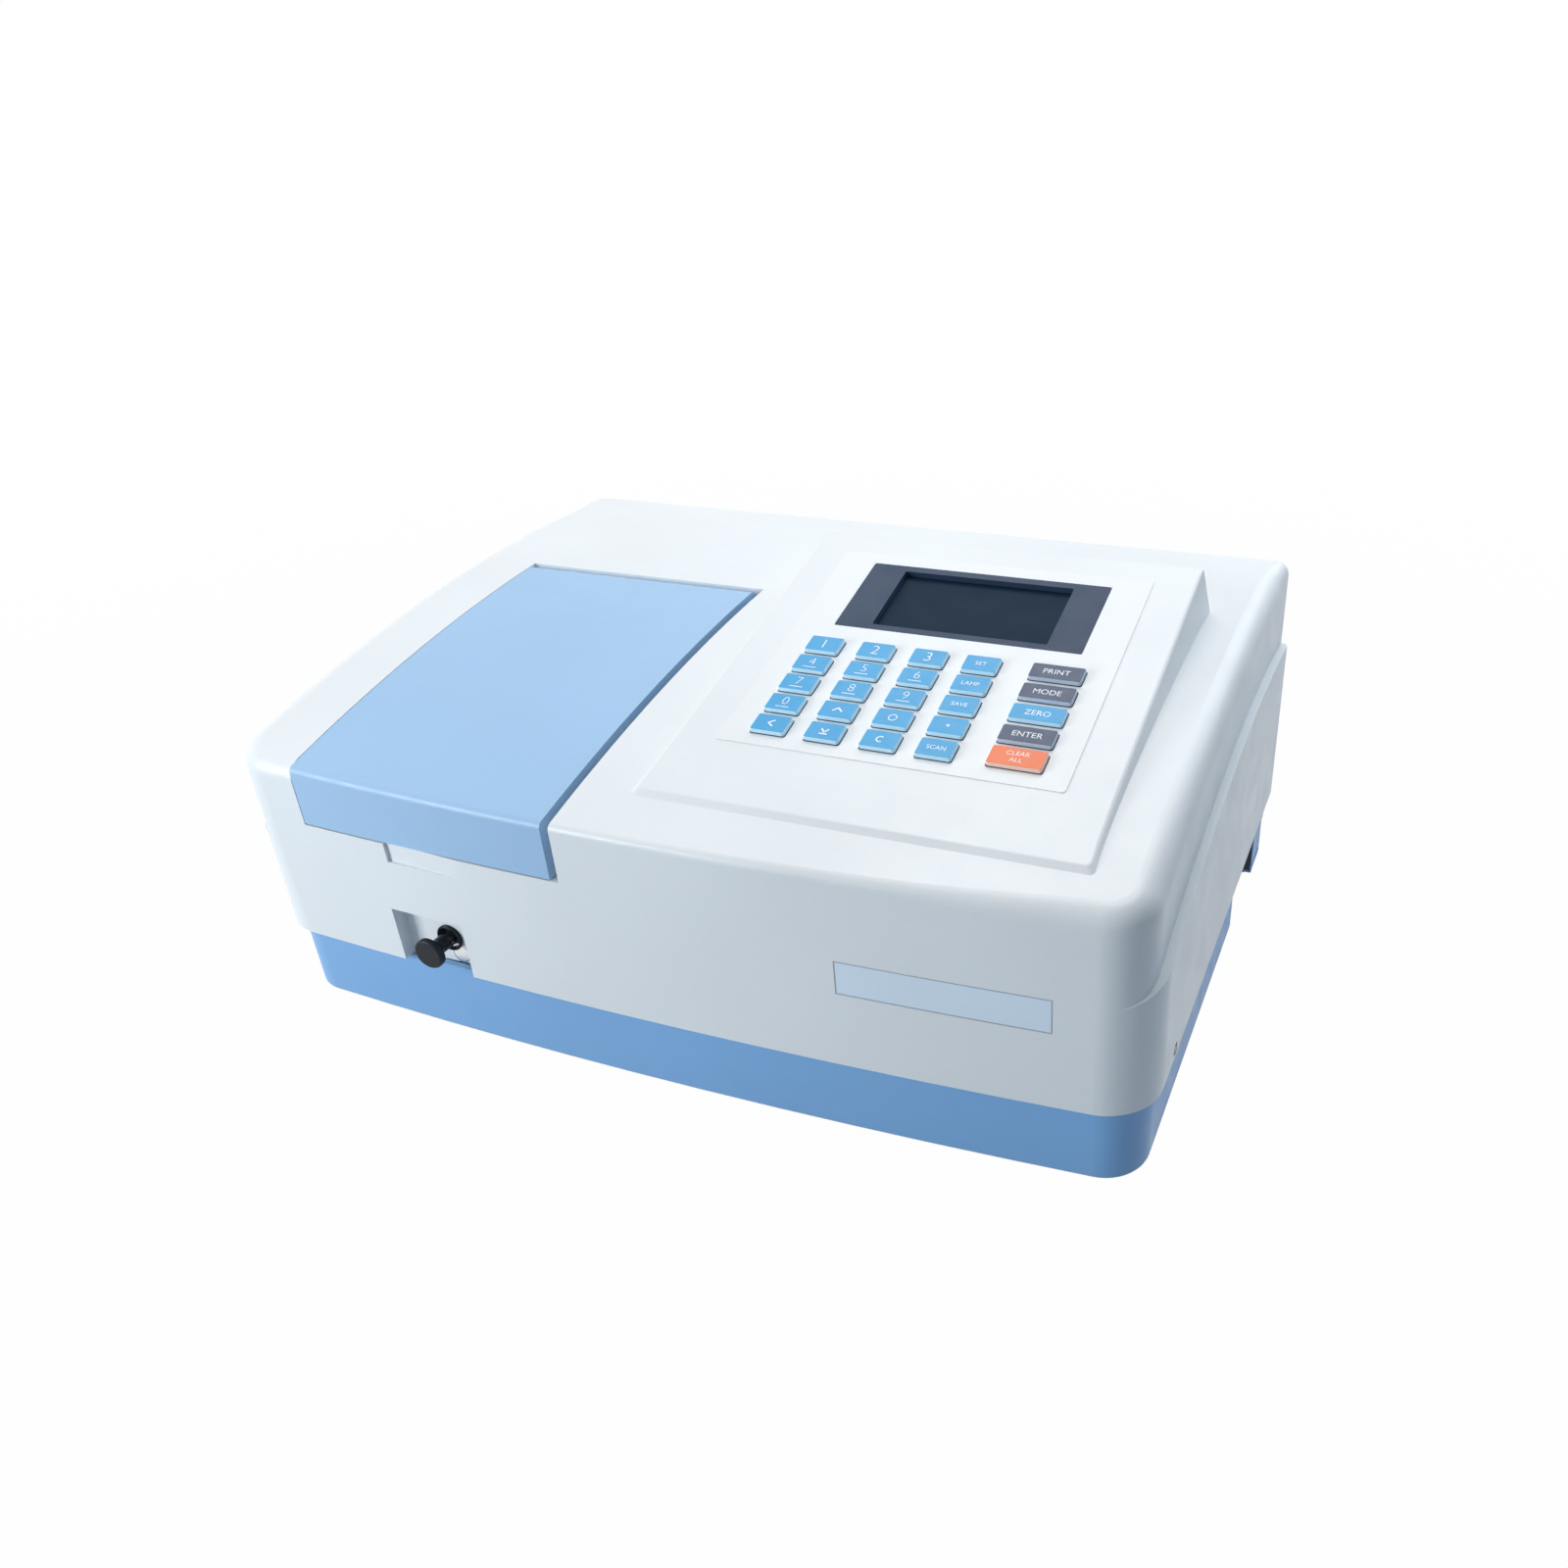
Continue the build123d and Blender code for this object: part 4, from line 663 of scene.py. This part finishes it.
plastic("key_print", (0.93, 0.95, 0.97), 0.5, depth=0.004 * MM, drift=0.01)
for name in keys:
    shape = bmesh.new()
    x, v = key_middle(name)
    middle = on_slope(x, v, cap_top + PRINT / 2)
    if name in DIGIT_KEYS:
        word, underlined = DIGIT_KEYS[name]
        tall = SMALL_DIGIT_HEIGHT if underlined else DIGIT_HEIGHT
        rise = DIGIT_RISE if underlined else 0.0
        add_text(shape, word, tall, middle @ Matrix.Translation((0, rise, 0)), DIGIT_PARED)
        if underlined:
            ends = [(end * UNDERLINE_REACH, -UNDERLINE_REACH) for end in (-1, 1)]
            add_stroke(shape, *ends, UNDERLINE_WIDTH, middle)
    elif name in ARROW_KEYS:
        for start, end in ARROW_KEYS[name]:
            add_stroke(shape, [c * MM for c in start], [c * MM for c in end], STROKE * 1.7, middle)
    elif name in WORD_KEYS:
        words = WORD_KEYS[name]
        tall = WIDE_WORD_HEIGHT if "wide" in name and len(words) == 1 else WORD_HEIGHT
        for row, word in enumerate(words):
            rise = ((len(words) - 1) / 2 - row) * tall * LINE_PITCH
            add_text(shape, word, tall, middle @ Matrix.Translation((0, rise, 0)))
    elif name == "key_4_3":
        add_ring(shape, middle, 1.9 * MM, STROKE)
    elif name == "key_4_4":
        add_ring(shape, middle, 0.45 * MM, STROKE * 1.4)
    else:
        add_ring(shape, middle @ Matrix.Rotation(math.radians(55), 4, "Z"), 1.7 * MM, STROKE * 1.4, 250.0)
    piece(f"print_{name}", shape, "key_print", name, smooth=False)
print("printed", len(keys), "keys")

# %% [markdown]
# ## A lathe for small hardware
# Screws, pins and discs are turned pieces. Their half outline is drawn with a few points and spun round
# its own axis, which is how they are made on a lathe too. Flat parts start as a cube, its edges softened
# where a bevel is given.

# %% Turned and flat parts
CROSS = (0.0, math.pi / 2)


def facing(point, way, turn=0.0):
    """Matrix that sets a part's own Z along a direction, at a point in millimetres."""
    lean = Vector(way).to_track_quat("Z", "Y").to_matrix().to_4x4()
    return Matrix.Translation(Vector(point) * MM) @ lean @ Matrix.Rotation(math.radians(turn), 4, "Z")


def turned(outline, place, steps=28):
    """Part spun from an outline of radius and height in millimetres."""
    part = bmesh.new()
    points = [part.verts.new((radius * MM, 0, height * MM)) for radius, height in outline]
    edges = [part.edges.new(pair) for pair in zip(points, points[1:])]
    bmesh.ops.spin(
        part, geom=points + edges, cent=(0, 0, 0), axis=(0, 0, 1), angle=math.tau, steps=steps,
        use_merge=True,
    )
    bmesh.ops.remove_doubles(part, verts=part.verts, dist=WELD)
    bmesh.ops.transform(part, matrix=place, verts=part.verts)
    return part


def slab(width, depth, height, place, bevel=0.0):
    """Box of three sizes in millimetres, its edges softened where a bevel is given."""
    part = bmesh.new()
    bmesh.ops.create_cube(part, size=MM, matrix=Matrix.Diagonal((width, depth, height, 1.0)))
    if bevel:
        bmesh.ops.bevel(
            part, geom=part.edges[:], offset=bevel * MM, offset_type="OFFSET", segments=2, profile=0.5,
            affect="EDGES", material=-1,
        )
    bmesh.ops.transform(part, matrix=place, verts=part.verts)
    return part


def screw_head(radius, place):
    """Pan head whose rim is rounded."""
    outline = [(0, 0), (1, 0), (1, 0.30), (0.92, 0.45), (0.70, 0.56), (0.35, 0.62), (0, 0.63)]
    return turned([(radius * r, radius * h) for r, h in outline], place)


def cross_recess_shade(radius, place):
    """Two crossed dark bars, seated a hair above a head, that paint the shade of its driver recess."""
    raised = place @ Matrix.Translation((0, 0, radius * 0.60 * MM))
    return [
        slab(radius * 1.05, radius * 0.22, radius * 0.09, raised @ Matrix.Rotation(turn, 4, "Z"))
        for turn in CROSS
    ]


def flat_frame(width, depth, line, radius, place):
    """Thin rounded frame in millimetres: a plate inset all round, whose middle is cut out."""
    part = bmesh.new()
    plate = Matrix.Diagonal((width, depth, 1, 1))
    bmesh.ops.create_grid(part, x_segments=1, y_segments=1, size=MM / 2, matrix=plate)
    bmesh.ops.bevel(
        part, geom=part.verts[:], offset=radius * MM, offset_type="OFFSET", segments=4, profile=0.5,
        affect="VERTICES", material=-1,
    )
    middle = part.faces[:]
    ring = bmesh.ops.inset_region(
        part, faces=middle, thickness=line * MM, use_boundary=True, use_even_offset=True
    )["faces"]
    bmesh.ops.delete(part, geom=middle, context="FACES")
    lifted = bmesh.ops.extrude_face_region(part, geom=ring, use_keep_orig=True)["geom"]
    raised = [v for v in lifted if isinstance(v, bmesh.types.BMVert)]
    bmesh.ops.translate(part, verts=raised, vec=(0, 0, PRINT))
    bmesh.ops.transform(part, matrix=place, verts=part.verts)
    return part


def joined(parts):
    """One bmesh that holds several, which are freed."""
    whole = bmesh.new()
    for part in parts:
        carrier = bpy.data.meshes.new("part")
        part.to_mesh(carrier)
        part.free()
        whole.from_mesh(carrier)
        bpy.data.meshes.remove(carrier)
    return whole


plastic("border_slate", (0.110, 0.150, 0.260), 0.6, depth=0.004 * MM, drift=0.01)
# Flat black: the own colour of the serial insert and the side screws' dark faces, and painted shade in the
# panel screws' recesses.
plastic("black_and_recess_shade", (0.010, 0.010, 0.012), 0.55, depth=0.01 * MM)
metal("zinc_screw", (0.62, 0.62, 0.60), 0.30, size=0.4 * MM, depth=0.004 * MM)
metal("gold_contact", (0.85, 0.62, 0.28), 0.24, size=0.5 * MM, depth=0.003 * MM)
print("lathe ready")

# %% [markdown]
# ## Screws and fan fixings on the back
# A steel back panel is held by a row of pan-head screws along its edges, and four longer ones go through
# it into the fan's frame. Each stands at a slightly different turn, as a screw does once it is tight. The
# screw low on each side wall gets a flat dark face with a bright cross.

# %% Back-panel screws
BACK, FRONT = (0, 1, 0), (0, -1, 0)
PANEL_BACK = 157.8
SCREW_RADIUS = 2.9
TURN_STEP = 37.0
PANEL_SCREWS = [(-193, 145), (-64, 145), (64, 145), (193, 145), (-193, 58), (193, 58)]
FAN_X, FAN_Z, FAN_REACH = 160, 92, 24.5
FAN_SCREWS = [(FAN_X + a * FAN_REACH, FAN_Z + b * FAN_REACH) for a in (-1, 1) for b in (-1, 1)]
SIDE_X, SIDE_Y, SIDE_Z, SIDE_TURN = 229.8, -109.0, 50.5, 18.0
DISC, SLOT_LONG, SLOT_WIDE, SLOT_RISE = 0.06, 3.0, 0.7, 0.09
heads, marks = [], []
for number, (x, z) in enumerate(PANEL_SCREWS + FAN_SCREWS):
    place = facing((x, PANEL_BACK, z), BACK, TURN_STEP * number)
    heads.append(screw_head(SCREW_RADIUS, place))
    marks += cross_recess_shade(SCREW_RADIUS, place)
shaded_heads, bright_marks = [], []
for side in (-1, 1):
    flat = facing((side * SIDE_X, SIDE_Y, SIDE_Z), (side, 0, 0), SIDE_TURN)
    shaded_heads.append(turned([(0, 0), (SCREW_RADIUS, 0), (SCREW_RADIUS, DISC), (0, DISC)], flat))
    for turn in CROSS:
        raised = flat @ Matrix.Translation((0, 0, SLOT_RISE * MM)) @ Matrix.Rotation(turn, 4, "Z")
        bright_marks.append(slab(SLOT_LONG, SLOT_WIDE, DISC, raised))
piece("panel_screws", joined(heads), "zinc_screw", "case")
piece("side_screw_faces", joined(shaded_heads), "black_and_recess_shade", "case", smooth=False)
piece("side_screw_slots", joined(bright_marks), "zinc_screw", "case", smooth=False)
# The dark crosses on the panel screws are painted shade of their driver recesses.
piece("screw_recess_shades", joined(marks), "black_and_recess_shade", "case", smooth=False)
print(len(heads), "screw heads and", len(marks) // 2, "recesses")

# %% [markdown]
# ## Dark pads painting the shade in the hand-holds
# Black shows just inside the rear edge of each hand-hold, where the corner block lies in shade under the
# cover. A thin dark pad on the corner block, in the rubber finish, paints that shade.

# %% Dark pads as painted shade in the hand-holds
PAD_SIZE, PAD_EDGE = (12.6, 40.0, 0.9), 0.4
PAD_X, PAD_Y, PAD_Z = 219.0, 125.55, 24.5
shade_pads = [slab(*PAD_SIZE, facing((side * PAD_X, PAD_Y, PAD_Z), FRONT), PAD_EDGE) for side in (-1, 1)]
# The pads wear the rubber finish but are painted shade, not a real rubber part.
piece("hand_hold_shade_pads", joined(shade_pads), "foot_rubber", "case")
print("shade_pads", len(shade_pads))

# %% [markdown]
# ## Sockets on the back
# The long socket is a nine-pole serial port: a dark insert with two rows of gilt pins between two hex
# posts that take the plug's screws. The square one holds a white tongue with its contacts.

# %% Serial pins, posts and the square socket's tongue
SERIAL_X, SERIAL_Z, SQUARE_X = -5.0, 62.0, 35.0
PIN_PITCH, ROW_PITCH = 2.75, 2.8
PIN_OUTLINE = [(0, 0), (0.5, 0), (0.5, 2.2), (0, 2.6)]
POST_REACH = 12.1
POST_OUTLINE = [(0, 0), (2.1, 0), (2.1, 7.6), (1.5, 8.0), (1.5, 6.0), (0, 6.0)]
insert = slab(17.0, 6.4, 4.6, facing((SERIAL_X, 154.2, SERIAL_Z), BACK), 0.5)
tongue = slab(5.4, 3.2, 5.4, facing((SQUARE_X, 154.6, 62.4), BACK), 0.4)
pins = []
for row, count in ((0, 5), (1, 4)):
    for column in range(count):
        x = SERIAL_X + (column - (count - 1) / 2) * PIN_PITCH
        pins.append(turned(PIN_OUTLINE, facing((x, 156.5, 63.4 - row * ROW_PITCH), BACK), 10))
for x in (-1.6, -0.5, 0.6, 1.7):
    pins.append(slab(0.6, 0.25, 4.6, facing((SQUARE_X + x, 154.9, 64.15), BACK)))
posts = [
    turned(POST_OUTLINE, facing((SERIAL_X + x, 152.0, SERIAL_Z), BACK), 6)
    for x in (-POST_REACH, POST_REACH)
]
piece("serial_insert", insert, "black_and_recess_shade", "case")
piece("square_tongue", tongue, "key_print", "case")
piece("socket_contacts", joined(pins), "gold_contact", "case")
piece("serial_posts", joined(posts), "zinc_screw", "case", smooth=False)
print("pins and contacts:", len(pins))

# %% [markdown]
# ## Plates without words
# Such an instrument carries a rating plate on its back. It is left bare here: a thin foil with a fine
# printed border. A small round foil with a printed ring shines in the recess of the pull knob, and
# another sits on the fan's hub.

# %% Bare foils
metal("foil", (0.78, 0.79, 0.80), 0.34, (1.0, 1.0, 1.0), 1.2 * MM, 0.002 * MM)
FOIL = 0.16
PLATE_X, PLATE_Z = 52, 110
ROUND_X, ROUND_Y, ROUND_Z = -113.2, -152.2, 51.4
foils = [
    slab(64, 36, FOIL, facing((PLATE_X, PANEL_BACK + FOIL / 2, PLATE_Z), BACK), 0.05),
    turned([(0, 0), (5.6, 0), (5.6, FOIL), (0, FOIL)], facing((ROUND_X, ROUND_Y, ROUND_Z), FRONT), 40),
]
piece("bare_foils", joined(foils), "foil", "case", smooth=False)
borders = [flat_frame(60, 32, 0.5, 2, facing((PLATE_X, PANEL_BACK + FOIL, PLATE_Z), BACK)), bmesh.new()]
add_ring(borders[1], facing((ROUND_X, ROUND_Y - FOIL, ROUND_Z), FRONT), 4.7 * MM, 0.4 * MM)
piece("foil_borders", joined(borders), "border_slate", "case", smooth=False)
hub = turned([(0, 0), (9.5, 0), (9.5, 0.1), (0, 0.1)], facing((160.5, 155.1, 92.0), BACK), 40)
piece("hub_foil", hub, "foil", "fan", smooth=False)
print("foils", FOIL, "mm thick")

# %% [markdown]
# ## Numbers on the cell changer
# The carriage holds four cells, numbered so that a sample isn't mixed up. The numbers are printed on the
# rim beside each pocket and travel with the carriage.

# %% Cell numbers
NUMBER_X, FIRST_Y, CELL_PITCH, RIM_Z = -108.4, -60.0, 20.0, 97.0
NUMBER_HEIGHT = 4.2 * MM
numbers = bmesh.new()
for number in range(4):
    rim = Vector((NUMBER_X, FIRST_Y + CELL_PITCH * number, RIM_Z)) * MM
    add_text(numbers, str(number + 1), NUMBER_HEIGHT, Matrix.Translation(rim + Vector((0, 0, PRINT / 2))))
piece("cell_numbers", numbers, "key_print", "cell_changer", smooth=False)
print("carriage top at", round(max(v.co.z for v in nodes["cell_carriage"].data.vertices) / MM, 1), "mm")
